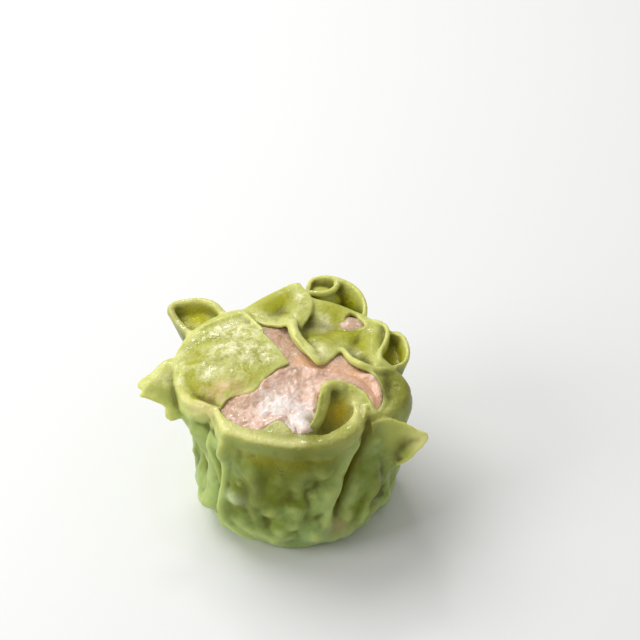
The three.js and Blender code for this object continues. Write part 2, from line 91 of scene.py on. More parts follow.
# %% Lights, surroundings and floor
bpy.context.scene.view_settings.view_transform = "Standard"
LIGHTS = [  # name, place in mm, size in mm, power in watts
    ("window_light", (-215, 205, 415), 340, 1.72),
    ("glint_light", (-90, 420, 480), 80, 0.4),
    ("side_fill", (-520, -200, 330), 320, 1.45),
]
ROOM_COLOUR = (1.0, 0.99, 0.965, 1)
ROOM_STRENGTH = 0.455
for name, place, size, power in LIGHTS:
    bpy.ops.object.light_add(type="AREA", location=Vector(place) * MM)
    light = bpy.context.object
    light.name = name
    light.data.size = size * MM
    light.data.energy = power
    towards = Vector((0, 0, MIDDLE_HEIGHT)) - Vector(place)
    light.rotation_euler = towards.to_track_quat("-Z", "Y").to_euler()

surroundings = bpy.data.worlds.new("pale_room")
surroundings.use_nodes = True
background = surroundings.node_tree.nodes["Background"]
background.inputs["Color"].default_value = ROOM_COLOUR
background.inputs["Strength"].default_value = ROOM_STRENGTH
bpy.context.scene.world = surroundings

FLOOR_SIZE = 3.0  # metres
bpy.ops.mesh.primitive_plane_add(size=FLOOR_SIZE)
floor = bpy.context.object
floor.name = "floor"
print(len(LIGHTS), "lights and a floor of", FLOOR_SIZE, "m")

# %% [markdown]
# ## The dumpling's own measures
# The side, the rim and the top of the filling are the ones that the solid model is made from, repeated
# here, so that the finished dough lies nearly where the solid one does. Angles are degrees, anticlockwise
# from +X seen from above.

# %% Measures shared with the solid model
BODY_RADIUS = 18.4  # to the middle of the dough, half-way up the side
RIM_HEIGHT = 27.2
BASE_RADIUS = 13.0
FOOT_IN = 2.8  # how much narrower the side is at the base
FOOT_TUCKS = [(308, 1.0, 38), (220, 1.3, 24), (244, 0.9, 14)]  # angle, how much more, width in degrees
FOOT_HEIGHT = 8.1
DOUGH = 1.0  # thickness
CLEARANCE = 0.32  # between the dough and the filling
MEAT_TOP = 28.6
MEAT_DROP = 1.7  # how much lower the filling's top is at MEAT_REACH from the axis
MEAT_REACH = 16.2
MEAT_TILT = 0.055  # rise for each mm to the back
LIFT = DOUGH / 2 + CLEARANCE  # from the filling to the middle of the dough on it
CREASES = [  # angle at the bottom and at the top, depth, width in degrees, lowest and highest
    (284, 309, 2.3, 3.4, 9.6, 27),
    (323, 323, 0.6, 6.0, 4.5, 12.5),
    (352, 352, 1.4, 4.5, 5.4, 26),
    (28, 34, 1.6, 4.5, 4.5, 23.4),
    (50, 46, 1.4, 4.5, 6.3, 25),
    (88, 86, 1.7, 4.5, 3.6, 27),
    (124, 124, 1.6, 4.5, 5.4, 26),
    (154, 150, 1.4, 5.0, 3.6, 21.6),
    (203, 200, 1.2, 3.8, 10.8, 24.3),
]
CREASE_END = 2.4  # half the height over which a crease fades out
PLEATS = [  # angle of the edge, how far it spreads and to which side, recess
    (228, -11, 1.9),
    (212, -11, 1.1),
    (181, -16, 1.0),
    (108, 18, 1.4),
    (14, -18, 1.1),
]
PLEAT_FOOT = (2.7, 8.1)  # heights between which the pleats begin
LUMPS = [  # angle, height, out, width in degrees, height of the swelling
    (197, 8.6, 0.6, 8, 3.2),
    (193, 15.5, -2.3, 20, 8.5),
    (355, 17, 1.4, 24, 8),
    (317, 20, 0.9, 7, 10),
    (262, 3.2, 0.7, 12, 3.6),
    (240, 13.5, 0.5, 12, 9),
    (258, 11, 0.5, 6, 4),
    (275, 16, -0.6, 9, 4),
    (288, 9, 0.5, 5, 4),
    (300, 3.6, 0.6, 9, 3.6),
    (66, 12.6, 0.9, 9, 11),
    (138, 12.6, 1.0, 7, 11),
]
WAVES = [(0.32, 3, 0.6, 12), (0.27, 5, 0, -4.5), (0.2, 9, -1.6, 3.1)]  # out, how many, phase, rise
HOLLOWS = [  # of the filling's top: angle, radius, depth, width
    (303, 13.9, 3.0, 4.7),
    (70, 11.7, 1.2, 5.0),
    (24, 12.6, 0.8, 3.6),
    (168, 9.5, -0.7, 8.0),
]
print(len(CREASES), "creases,", len(PLEATS), "pleats and", len(LUMPS), "lumps on the side")

# %% The rim
# Angle, radius and height of the crest, then x and y of the free edge, and how far it stands off the filling.
RIM = np.array([
    [118, 18.9, 28.8, -9.2, 15.5, 0.8],
    [124, 19.4, 28.8, -6.9, 11.2, 0.5],
    [133, 20.3, 28.6, -3.8, 6.3, 0.1],
    [145, 21.3, 28.2, -1.4, 1.5, 0.2],
    [159, 21.7, 27.5, -0.8, 0.0, 0.3],
    [172, 21.4, 26.8, -2.6, -1.2, 0.1],
    [184, 20.6, 26.1, -5.0, -3.6, 0.0],
    [194, 20.3, 26.1, -7.2, -6.4, 0.0],
    [204, 19.3, 26.7, -11.4, -7.0, 0.0],
    [214, 17.4, 27.1, -12.9, -8.6, 0.1],
    [223, 18.0, 27.3, -12.0, -11.2, 0.3],
    [230, 19.1, 27.3, -9.2, -13.6, 0.3],
    [243, 18.6, 27.1, -5.9, -14.5, 0.2],
    [257, 18.4, 27.0, -2.5, -13.0, 0.6],
    [268, 18.7, 26.9, 0.3, -15.3, 0.2],
    [277, 18.9, 27.0, 2.4, -14.6, 0.7],
    [285, 19.2, 27.1, 3.9, -11.3, 1.4],
    [293, 19.1, 27.2, 4.7, -7.6, 1.2],
    [301, 18.8, 27.3, 6.2, -4.9, 0.9],
    [309, 18.2, 27.4, 9.8, -4.6, 0.8],
    [317, 17.0, 26.7, 12.7, -6.8, 1.1],
    [325, 18.3, 27.0, 14.4, -10.2, 0.9],
    [335, 19.8, 26.4, 15.5, -7.6, 0.7],
    [345, 20.6, 26.4, 15.0, -3.9, 1.1],
    [354, 20.0, 27.0, 13.2, -1.3, 1.1],
    [364, 17.4, 28.0, 10.8, 0.4, 0.5],
    [375, 16.1, 28.4, 9.0, 3.4, 0.2],
    [386, 17.2, 28.7, 8.5, 5.6, 0.0],
    [397, 19.4, 28.9, 7.9, 4.6, 0.0],
    [407, 19.2, 29.1, 6.6, 1.6, 0.1],
    [417, 18.7, 29.3, 5.2, -0.3, 0.2],
    [427, 18.5, 29.6, 3.8, -0.5, 0.4],
    [438, 18.6, 29.9, 1.7, 2.1, 0.7],
    [447, 19.8, 30.2, 0.2, 4.7, 0.9],
    [455, 20.3, 30.4, -0.7, 8.3, 0.8],
    [463, 19.6, 29.9, -2.7, 10.3, 0.4],
    [471, 19.1, 29.3, -5.9, 11.7, 0.3],
])
print("the rim has", len(RIM), "rows, from", RIM[:, 2].min(), "to", RIM[:, 2].max(), "mm high")

# %% [markdown]
# ## Small tools
# Smooth steps, bells and blends shape everything, so they come first. Seeded noise makes the unevenness of
# steamed dough: a lattice of random numbers, blended between its points. It could be a Displace texture,
# but the same numbers are wanted again for the colours.

# %% Helpers for numbers
def mix(a, b, t):
    """From a where t is 0 to b where it is 1."""
    return a + (b - a) * t


def smooth(start, end, x):
    """0 up to start and 1 from end on, smoothly between."""
    t = np.clip((x - start) / (end - start), 0, 1)
    return t * t * (3 - 2 * t)


def bell(x):
    """1 at 0, a third at 1 and nearly 0 from 2 on, to both sides."""
    return np.exp(-x * x)


def turn(degrees):
    """The same angle, from -180 up to 180 degrees."""
    return (degrees + 180) % 360 - 180


def polar(degrees, radius, height):
    """Points given by angle, radius and height."""
    around = np.radians(degrees)
    x, y = radius * np.cos(around), radius * np.sin(around)
    return np.stack(np.broadcast_arrays(x, y, height), axis=-1)


LATTICE = 64  # random numbers along each side, after which they repeat
FAR_OFF = 1000  # added to every place, so that none is negative


def angle_of(x, y):
    """Angle round the axis, from 0 up to 360 degrees."""
    return np.degrees(np.arctan2(y, x)) % 360


def grain(points, size, seed):
    """Smooth random numbers from -1 to 1, one for each point, that turn over a size in mm."""
    lattice = np.random.default_rng(seed).uniform(-1, 1, (LATTICE, LATTICE, LATTICE))
    place = points / size + FAR_OFF
    cell = np.floor(place).astype(int)
    t = place - cell
    t = t * t * (3 - 2 * t)
    total = 0
    for corner in np.ndindex(2, 2, 2):
        a, b, c = [(cell[:, k] + corner[k]) % LATTICE for k in range(3)]
        weight = np.prod([t[:, k] if corner[k] else 1 - t[:, k] for k in range(3)], axis=0)
        total = total + weight * lattice[a, b, c]
    return total


print("noise test:", grain(np.array([[1.0, 2.0, 3.0]]), 2.0, 1).round(3))

# %% [markdown]
# ## Lines and distances
# Free edges, creases and rolls are smooth curves through a few places. They could be Blender's own curves,
# but the shapes and the paint also ask how far each point is from such a line, which a tree of its points
# answers fast.

# %% Helpers for lines
def round_the_axis(places):
    """Places given by angle, radius and height, as points."""
    return [polar(*place) for place in places]


def curve_points(places, count):
    """A smooth curve through a few places, which doesn't overshoot where they stand close together."""
    places = np.array(places, float)
    padded = np.vstack([2 * places[0] - places[1], places, 2 * places[-1] - places[-2]])
    where = np.linspace(0, len(places) - 1, count + 1)
    k = np.minimum(where.astype(int), len(places) - 2)
    t = (where - k)[:, None]
    a, b, c, d = (padded[k + step] for step in range(4))
    lengths = [np.linalg.norm(q - p, axis=1)[:, None] for p, q in ((a, b), (b, c), (c, d))]
    before, here, after = (np.sqrt(length) for length in lengths)
    leaving = ((b - a) / before - (c - a) / (before + here) + (c - b) / here) * here
    arriving = ((c - b) / here - (d - b) / (here + after) + (d - c) / after) * here
    squared = 3 * (c - b) - 2 * leaving - arriving
    cubed = 2 * (b - c) + leaving + arriving
    return b + t * leaving + t**2 * squared + t**3 * cubed


def near(points, line, reach):
    """The distance of each point from a line of points, up to a reach."""
    tree = KDTree(len(line))
    for k, place in enumerate(line):
        tree.insert(place, k)
    tree.balance()
    return np.array([min(tree.find(place)[2], reach) for place in points])


def near_from_above(points, line, reach):
    """The same, seen from above."""
    return near(points * (1, 1, 0), line * (1, 1, 0), reach)


def within(points, outline):
    """Whether points lie inside a closed outline, seen from above."""
    x, y = points[:, 0], points[:, 1]
    inside = np.zeros(len(points), bool)
    for (ax, ay), (bx, by) in zip(outline, np.roll(outline, -1, 0)):
        if ay != by:
            inside ^= ((ay > y) != (by > y)) & (x < ax + (y - ay) / (by - ay) * (bx - ax))
    return inside


print("a curve of", len(curve_points([(0, 0, 0), (1, 1, 0), (2, 0, 0)], 10)), "points")

# %% [markdown]
# ## Folds
# A fold is a line through a few places with a height at each: a ridge where the height is positive, a
# valley where it is negative. It could be sculpted, but a line of places is easy to move later. Its two
# flanks can differ, because a fold that lies over its neighbour ends in a step.

# %% Folds along a line
def fold_relief(x, y, folds):
    """Relief of several folds at the places x, y. Each is (width on the left, width on the right, places)."""
    total = np.zeros_like(x)
    for left, right, places in folds:
        best = np.full_like(x, np.inf)
        relief = np.zeros_like(x)
        for (ax, ay, ah), (bx, by, bh) in zip(places, places[1:]):
            along = ((x - ax) * (bx - ax) + (y - ay) * (by - ay)) / ((bx - ax) ** 2 + (by - ay) ** 2)
            t = np.clip(along, 0, 1)
            away = np.hypot(x - mix(ax, bx, t), y - mix(ay, by, t))
            on_left = (bx - ax) * (y - ay) - (by - ay) * (x - ax) > 0
            here = mix(ah, bh, t) * bell(away / np.where(on_left, left, right))
            nearer = away < best
            best = np.where(nearer, away, best)
            relief = np.where(nearer, here, relief)
        total += relief
    return total


# Folds of the side: angle, height and how far out. The front lies between 180 and 345 degrees.
SIDE_FOLDS = [
    (0.8, 0.45, [(231.5, 26, 0.5), (229.6, 20, 0.55), (228.8, 15, 0.5), (229.8, 11.5, 0.5), (232, 8, 0.4)]),
    (0.6, 0.6, [(229.5, 10, 0.3), (233, 6.4, 0.5), (241, 3.6, 0.45), (248, 1.8, 0.2)]),
    (0.6, 0.6, [(213.5, 24, 0.3), (216, 21, 0.45), (219.5, 18.5, 0.45), (223, 15, 0.4), (226, 11.5, 0.2)]),
    (0.55, 0.7, [(201, 24, 0.2), (203, 19, 0.25), (206, 15, 0.25), (209, 11, 0.2)]),
    (1.3, 0.9, [(203, 4.4, 0.4), (211, 6.0, 0.5), (219, 8.0, 0.55), (226, 9.6, 0.4)]),
    (1.0, 1.2, [(205, 2.2, -0.4), (214, 3.8, -0.6), (222, 5.6, -0.6), (229, 7.6, -0.4)]),
    (0.7, 1.7, [
        (318, 27, -0.6), (313.5, 22.5, -0.9), (306, 18.6, -1.2), (300.5, 14.2, -1.0), (296, 11, -0.6),
    ]),
    (1.5, 0.5, [(309, 24, 0.4), (301.5, 20.5, 0.6), (296.5, 16, 0.75), (291.5, 11.6, 0.6), (287, 8.6, 0.3)]),
    (1.2, 1.6, [(250, 24.2, -0.12), (270, 23.4, -0.25), (290, 23.2, -0.3), (303, 24.5, -0.2)]),
    (0.7, 1.1, [(276, 22, 0.1), (272, 17.5, 0.35), (274, 13.0, 0.3), (270, 8.5, 0.3)]),
    (1.0, 0.8, [(247, 22, 0.15), (250, 17, 0.35), (247, 12.0, 0.35), (251, 7.0, 0.35)]),
    (0.9, 0.9, [(238, 8.5, 0.2), (247, 6.2, 0.4), (257, 5.2, 0.35), (268, 5.4, 0.3)]),
    (0.7, 0.7, [(316, 14.6, 0.2), (313, 12, 0.45), (310, 9.4, 0.5), (307, 6.5, 0.3)]),
    (1.5, 1.3, [(318, 11.2, -0.15), (323, 9.4, -0.35), (327, 7.6, -0.15)]),
    (1.1, 1.0, [(198, 22.6, -0.2), (206, 22.8, -0.4), (216, 23.0, -0.45), (225, 23.2, -0.35)]),
    (0.9, 1.1, [
        (315, 12.8, 0.2), (322, 13.2, 0.25), (328, 12.2, 0.3),
        (331.5, 9.8, 0.35), (333, 6.5, 0.3), (330, 4.2, 0.2),
    ]),
    (0.9, 1.0, [(311, 8.0, 0.3), (319, 7.0, 0.4), (328, 5.6, 0.3)]),
    (0.8, 0.5, [(352, 25, 0.3), (351, 19, 0.5), (349, 13, 0.4), (350, 7, 0.3)]),
    (0.5, 0.8, [(30, 22, 0.4), (27, 16, 0.5), (25, 10, 0.3)]),
    (0.8, 0.6, [(48, 24, 0.5), (52, 17, 0.5), (53, 10, 0.3), (60, 5, 0.3)]),
    (0.6, 0.9, [(86, 27, 0.4), (90, 20, 0.5), (95, 12, 0.4), (96, 6, 0.2)]),
    (0.9, 0.6, [(108, 25, 0.4), (106, 17, 0.5), (111, 9, 0.4), (118, 4, 0.3)]),
    (0.6, 0.9, [(124, 24, 0.4), (127, 17, 0.4), (129, 9, 0.3)]),
    (0.9, 0.6, [(152, 22, 0.4), (155, 15, 0.5), (152, 8, 0.4), (146, 4, 0.3)]),
    (0.7, 0.7, [(174, 24, 0.3), (179, 17, 0.5), (182, 10, 0.5), (180, 5, 0.3)]),
]
# Small bumps and dimples of the side: angle, height, out, radius.
SIDE_SPOTS = [
    (235.4, 13.2, 0.34, 1.2),
    (239.0, 13.0, 0.42, 1.3),
    (192, 12.4, -0.6, 2.6),
    (184, 8.8, -0.9, 2.2),
    (184, 3.4, 0.35, 1.8),
    (240.0, 16.4, 0.35, 0.45),
    (264, 21.5, -0.35, 1.0),
    (257, 11.6, 0.45, 1.4),
    (262.5, 7.0, 0.5, 1.4),
    (279, 14.7, 0.3, 1.0),
    (277, 19.1, -0.5, 1.0),
    (283, 17.6, -0.5, 0.9),
    (286, 20.9, 0.55, 1.3),
    (290, 15.8, 0.4, 1.2),
    (252, 13.6, 0.4, 1.3),
    (260, 4.0, 0.4, 1.6),
    (246, 20, 0.35, 1.8),
    (273, 9.6, -0.5, 1.6),
    (268, 16.6, -0.3, 1.3),
    (251, 8.4, -0.4, 1.6),
    (281, 5.6, 0.5, 1.6),
    (293, 6.0, -0.4, 1.0),
    (244, 10.4, -0.3, 1.0),
    (269, 12.6, 0.3, 1.0),
    (299, 8.6, 0.35, 1.2),
]
# Folds of the top: x, y and how high.
TOP_FOLDS = [
    (1.0, 1.2, [(-0.7, 12.0, 0.4), (-0.9, 8.7, 0.8), (-0.1, 5.3, 0.8), (1.6, 2.6, 0.7), (4.4, 0.2, 0.5)]),
    (1.1, 1.1, [(1.7, 9.4, -0.4), (1.8, 6.4, -0.8), (3.4, 3.8, -0.5)]),
    (0.8, 0.8, [(3.6, 17.8, 0.5), (6.0, 16.9, 0.6), (8.3, 16.3, 0.6), (10.9, 16.0, 0.5)]),
    (2.8, 2.4, [(12.4, 9.4, -0.3), (12.9, 6.0, -0.8), (12.3, 3.6, -0.5)]),
    (0.6, 0.6, [(3.3, 7.4, 0.35), (5.2, 7.6, 0.4), (6.6, 6.4, 0.2)]),
    (0.5, 0.5, [(17.0, 10.4, 0.7), (15.7, 6.6, 0.9), (15.1, 4.0, 0.9), (14.7, 0.8, 0.6)]),
    (1.0, 1.0, [(15.0, 9.6, -0.8), (13.9, 6.0, -1.5), (13.4, 2.6, -1.2)]),
    (2.2, 2.2, [(17.0, -3.4, -0.9), (17.4, -7.6, -0.8)]),
    (0.9, 0.9, [(12.2, 12.0, 0.3), (13.8, 12.2, 0.5), (15.6, 11.8, 0.4)]),
    (1.0, 0.9, [(1.9, -15.4, 0.3), (2.9, -12.2, 0.7), (3.9, -9.0, 0.9), (5.2, -6.2, 0.8), (8.0, -4.9, 0.4)]),
    (0.7, 0.7, [
        (-19.6, -3.6, 0.4), (-18.6, -6.0, 0.6), (-16.8, -7.6, 0.6), (-15.0, -8.4, 0.5), (-12.9, -11.0, 0.4),
    ]),
    (1.6, 1.2, [(-18.9, -2.0, -1.0), (-16.9, -5.0, -1.9), (-14.3, -6.5, -1.7), (-12.2, -8.8, -1.1)]),
    (0.7, 0.8, [(-19.9, 9.4, 0.3), (-16.9, 11.5, 0.5), (-13.3, 13.4, 0.6), (-9.4, 15.0, 0.4)]),
    (1.8, 1.4, [(-15.5, 2.0, 0.4), (-11.5, 3.4, 0.5), (-7.6, 2.2, 0.3)]),
    (1.2, 1.2, [(-13.6, 8.8, -0.3), (-9.6, 8.6, -0.4), (-6.4, 6.2, -0.2)]),
    (1.0, 1.2, [(-20.4, 1.8, 0.5), (-17.6, 1.4, 0.4), (-15.0, -0.6, 0.3)]),
    (1.8, 1.8, [(-10.5, 17.0, -0.1), (-6.6, 16.6, -0.35), (-3.8, 15.6, -0.3)]),
]
print(len(SIDE_FOLDS), "folds on the side,", len(TOP_FOLDS), "on the top")

# %% [markdown]
# ## The sheet's shape
# The side is a distance from the axis for each angle and height, with its creases, pleats, lumps and
# folds. A turned profile would be the same all round, and no two sides of a dumpling are the same. The
# rim is a smooth closed curve through its rows, and the top follows the filling, a little above it.

# %% The side of the cup
def side_relief(degrees, height):
    """How far out the side is by its creases, pleats, lumps and waves."""
    out = np.zeros_like(degrees)
    for bottom, top, depth, width, low, high in CREASES:
        path = mix(bottom, top, np.clip(height / RIM_HEIGHT, 0, 1))
        begun = smooth(low - CREASE_END, low + CREASE_END, height)
        ended = smooth(high - CREASE_END, high + CREASE_END, height)
        out -= depth * begun * (1 - ended) * bell(turn(degrees - path) / width)
    for edge, spread, recess in PLEATS:
        across = turn(degrees - edge) / spread
        step = smooth(-0.07, 0.05, across) * (1 - smooth(0.1, 1, across))
        out -= recess * step * smooth(*PLEAT_FOOT, height)
    for angle, middle, by, wide, tall in LUMPS:
        out += by * bell(turn(degrees - angle) / wide) * bell((height - middle) / tall)
    for by, times, phase, rise in WAVES:
        out += by * np.cos(times * np.radians(degrees) + phase + height / rise)
    return out


MIDDLE_RADIUS = 18.6
DEGREE = math.radians(1) * MIDDLE_RADIUS  # millimetres for one degree round the cup
FOLD_GAIN = 2.0  # on the heights of the folds
SPOT_GAIN = 2.1  # and of the small bumps


def fine_side_relief(degrees, height):
    """And by its fine folds, small bumps and the unevenness of steamed dough."""
    around = degrees % 360
    folds = []
    for left, right, places in SIDE_FOLDS:
        folds.append((left, right, [(angle * DEGREE, z, by) for angle, z, by in places]))
    out = FOLD_GAIN * fold_relief(around * DEGREE, height, folds)
    for angle, middle, by, radius in SIDE_SPOTS:
        gain = SPOT_GAIN if by > 0 else 1.0
        out += gain * by * bell(np.hypot(turn(around - angle) * DEGREE, height - middle) / radius)
    place = polar(degrees, MIDDLE_RADIUS, height)
    tall = place * (1, 1, 0.5)
    out += 0.55 * grain(place, 4.6, 11) + 0.5 * grain(tall, 2.4, 12) + 0.2 * grain(place, 1.2, 13)
    out += 1.0 * grain(place * (1, 1, 0.3), 3.2, 14) * bell((height - 2.2) / 2.6)
    return out


def side_radius(degrees, height):
    """Distance of the middle of the dough from the axis, tucked in at the foot."""
    tuck = sum(more * bell(turn(degrees - angle) / wide) for angle, more, wide in FOOT_TUCKS)
    foot = (FOOT_IN + tuck) * (1 - np.clip(height / FOOT_HEIGHT, 0, 1)) ** 2.2
    return BODY_RADIUS - foot + side_relief(degrees, height) * smooth(0.4, 5.4, height)


LEAN_SPREAD = 40  # degrees to each side of the great crease


def leaned(degrees, height):
    """Angles moved so that the sheet's lines run along the slanting great crease."""
    bottom, top = CREASES[0][:2]
    lean = (bottom - top) * (1 - np.clip(height / RIM_HEIGHT, 0, 1))
    return degrees + lean * bell(turn(degrees - top) / LEAN_SPREAD)


print("radius at the front, half-way up:", side_radius(np.array([270.0]), np.array([13.5])).round(2))

# %% The rim and the top of the filling
def rim_at(share):
    """Angle, radius, height, x, y and lift of the rim at shares of the way round."""
    place = (share % 1) * len(RIM)
    k = np.floor(place).astype(int) % len(RIM)
    t = (place - np.floor(place))[:, None]
    rows = [RIM[(k + step) % len(RIM)].copy() for step in (-1, 0, 1, 2)]
    for row in rows:
        row[:, 0] = rows[1][:, 0] + turn(row[:, 0] - rows[1][:, 0])
    p, q, r, s = rows
    return (q + 0.5 * t * (r - p + t * (2 * p - 5 * q + 4 * r - s + t * (3 * (q - r) + s - p)))).T


UNDER_CREST = 1.45  # mm, where the side ends and the crest's round begins


def side_point(rim, height):
    """Angle and radius of the middle of the dough, on the lines that end at places on the rim."""
    degrees = leaned(rim[0], height)
    pull = smooth(0.5, 1, height / (rim[2] - UNDER_CREST))
    return degrees, mix(side_radius(degrees, height), rim[1], pull)


ROUND = np.linspace(0, 1, 1441)  # shares of the way round, and the angles there
ROUND_RIM = rim_at(ROUND[:-1])
ROUND_DEGREES = np.append(np.unwrap(ROUND_RIM[0], period=360), ROUND_RIM[0][0] + 360)


def rim_for(degrees):
    """What rim_at gives, for angles."""
    start = ROUND_DEGREES[0]
    return rim_at(np.interp((degrees - start) % 360 + start, ROUND_DEGREES, ROUND))


def wall_radius(degrees, height):
    """Radius of the middle of the side's dough at any angle and height."""
    rim = rim_for(degrees)
    return side_point(rim, np.minimum(height, rim[2] - UNDER_CREST))[1]


def meat_top(x, y):
    """Height of the filling's top."""
    height = MEAT_TOP - MEAT_DROP * (np.hypot(x, y) / MEAT_REACH) ** 2 + y * MEAT_TILT
    for angle, radius, depth, width in HOLLOWS:
        middle = polar(angle, radius, 0)
        height = height - depth * bell((np.hypot(x - middle[0], y - middle[1]) / width) ** 1.4)
    return height


print("the filling's top in the middle:", meat_top(np.zeros(1), np.zeros(1)).round(2), "mm")

# %% [markdown]
# ## Shaping primitives
# Every piece starts as a primitive that is added at once with enough faces, and each of its points is then
# put where a formula says. A grid becomes a sheet of dough, and a sphere becomes a closed stack of rings.

# %% Shaped primitives
def alone(piece):
    """Select one piece only and make it active."""
    bpy.ops.object.select_all(action="DESELECT")
    piece.select_set(True)
    bpy.context.view_layer.objects.active = piece


def put_points(piece, points):
    """Give a piece its points, in mm."""
    piece.data.vertices.foreach_set("co", (points * MM).astype(np.float32).ravel())
    piece.data.update()


def points_of(piece):
    """The points of a piece, in mm."""
    flat = np.empty(len(piece.data.vertices) * 3, np.float32)
    piece.data.vertices.foreach_get("co", flat)
    return flat.reshape(-1, 3).astype(float) / MM


SAME_PLACE = 2e-6  # metres, within which two points are one


def tidy_mesh(piece):
    """Merge what lies at one place and point all faces outwards."""
    alone(piece)
    bpy.ops.object.mode_set(mode="EDIT")
    bpy.ops.mesh.select_all(action="SELECT")
    bpy.ops.mesh.remove_doubles(threshold=SAME_PLACE)
    bpy.ops.mesh.normals_make_consistent(inside=False)
    bpy.ops.object.mode_set(mode="OBJECT")


def shaped_grid(name, across, along, place):
    """A grid whose points go where place(u, v) says, with u and v from 0 to 1."""
    bpy.ops.object.select_all(action="DESELECT")
    bpy.ops.mesh.primitive_grid_add(x_subdivisions=across, y_subdivisions=along, size=1)
    piece = bpy.context.object
    piece.name = name
    flat = points_of(piece) * MM
    put_points(piece, place(flat[:, 0] + 0.5, flat[:, 1] + 0.5))
    return piece


def shaped_rings(name, around, rings):
    """A sphere whose rings become the given closed rings of points, with a pole in the middle of each end."""
    bpy.ops.object.select_all(action="DESELECT")
    bpy.ops.mesh.primitive_uv_sphere_add(segments=around, ring_count=len(rings) + 1, radius=1)
    piece = bpy.context.object
    piece.name = name
    ball = points_of(piece) * MM
    level = np.rint(np.arccos(np.clip(-ball[:, 2], -1, 1)) / math.pi * (len(rings) + 1)).astype(int)
    side = np.rint(np.arctan2(ball[:, 1], ball[:, 0]) / (2 * math.pi) * around).astype(int) % around
    poles = [np.repeat(ring.mean(0)[None], around, 0) for ring in (rings[0], rings[-1])]
    stack = np.array([poles[0], *rings, poles[1]])
    put_points(piece, stack[level, side])
    tidy_mesh(piece)
    return piece


def thicken(piece, thickness, thinner=None):
    """Give a sheet its thickness, down to a share of it where the vertex group says less than 1."""
    alone(piece)
    wall = piece.modifiers.new("wall", "SOLIDIFY")
    wall.thickness = thickness * MM
    wall.offset = 0
    if thinner is not None:
        group = piece.vertex_groups.new(name="thickness")
        for share in np.unique(thinner):
            group.add(np.flatnonzero(thinner == share).tolist(), float(share), "REPLACE")
        wall.vertex_group = "thickness"
    bpy.ops.object.modifier_apply(modifier="wall")


def cut(piece, cutter):
    """Take a closed cutter out of a piece and delete the cutter."""
    alone(piece)
    boolean = piece.modifiers.new("cut", "BOOLEAN")
    boolean.operation = "DIFFERENCE"
    boolean.solver = "EXACT"
    boolean.object = cutter
    bpy.ops.object.modifier_apply(modifier="cut")
    bpy.data.objects.remove(cutter)


print("tools for sheets and rings are ready")

# %% [markdown]
# ## The main sheet
# One sheet makes the base, the side, the rim and the flaps folded in over the meat. It could be sculpted
# from a cylinder, but a grid whose lines run from the middle of the base up the side and in to the free
# edge keeps every fold along its own line. The lines meet at the pole in the base, and the last line is
# merged with the first.

# %% Main sheet
LINES = 440
STOPS = 190
BASE_SHARE = 0.06  # of each line, up to the foot
SIDE_SHARE = 0.5  # and up to the crest
CREST_SHARE = 0.56  # and round the crest
CREST_IN = 1.25  # how far the crest reaches inwards
RIDGE_ANGLE = 209  # of the left lip, whose crest is a narrow ridge
RIDGE_WIDTH = 18  # degrees
RIDGE_REACH = 0.25  # its share of CREST_IN
RIDGE_LEAN = 0.8
LIP_FOLDS = [(262, 40), (207, 17)]  # angle and width in degrees of where the crest is folded sharply
LIP_POWER = 7  # how squarely
LIP_IN = 1.8  # how far in the sheet lies down behind such a fold
ROLL_IN = 4.9  # and behind the round crest
ROLL = 0.3  # how much higher it is on the way
RIDGES = [  # of the top, in the same form as the folds
    (1.5, 1.5, [(0.4, 19.4, 1.35), (-0.5, 10.8, 1.5), (0.5, 4.5, 1.1), (3.6, 0.2, 0.5)]),
    (1.1, 1.1, [(2.4, -15.8, 0.2), (3.9, -10.8, 0.7), (5.4, -6.6, 0.6)]),
]


def taut(x, y):
    """1 on the back flaps, which are pulled smooth, down to 0 away from them."""
    flat = [((-4.5, 17), (7, 4.5)), ((12.0, 6.0), (3.4, 5.0)), ((5.4, 12.0), (4.0, 6.5))]
    return np.max([bell(np.hypot((x - a) / wide, (y - b) / deep)) for (a, b), (wide, deep) in flat], axis=0)


def lying(x, y):
    """Height of the middle of the dough where it lies on the filling."""
    flat = np.stack([x, y, np.zeros_like(x)], axis=-1)
    uneven = (0.2 * grain(flat, 2.9, 21) + 0.08 * grain(flat, 1.3, 22)) * (1 - 0.8 * taut(x, y))
    return meat_top(x, y) + LIFT + 0.55 * fold_relief(x, y, RIDGES) + fold_relief(x, y, TOP_FOLDS) + uneven


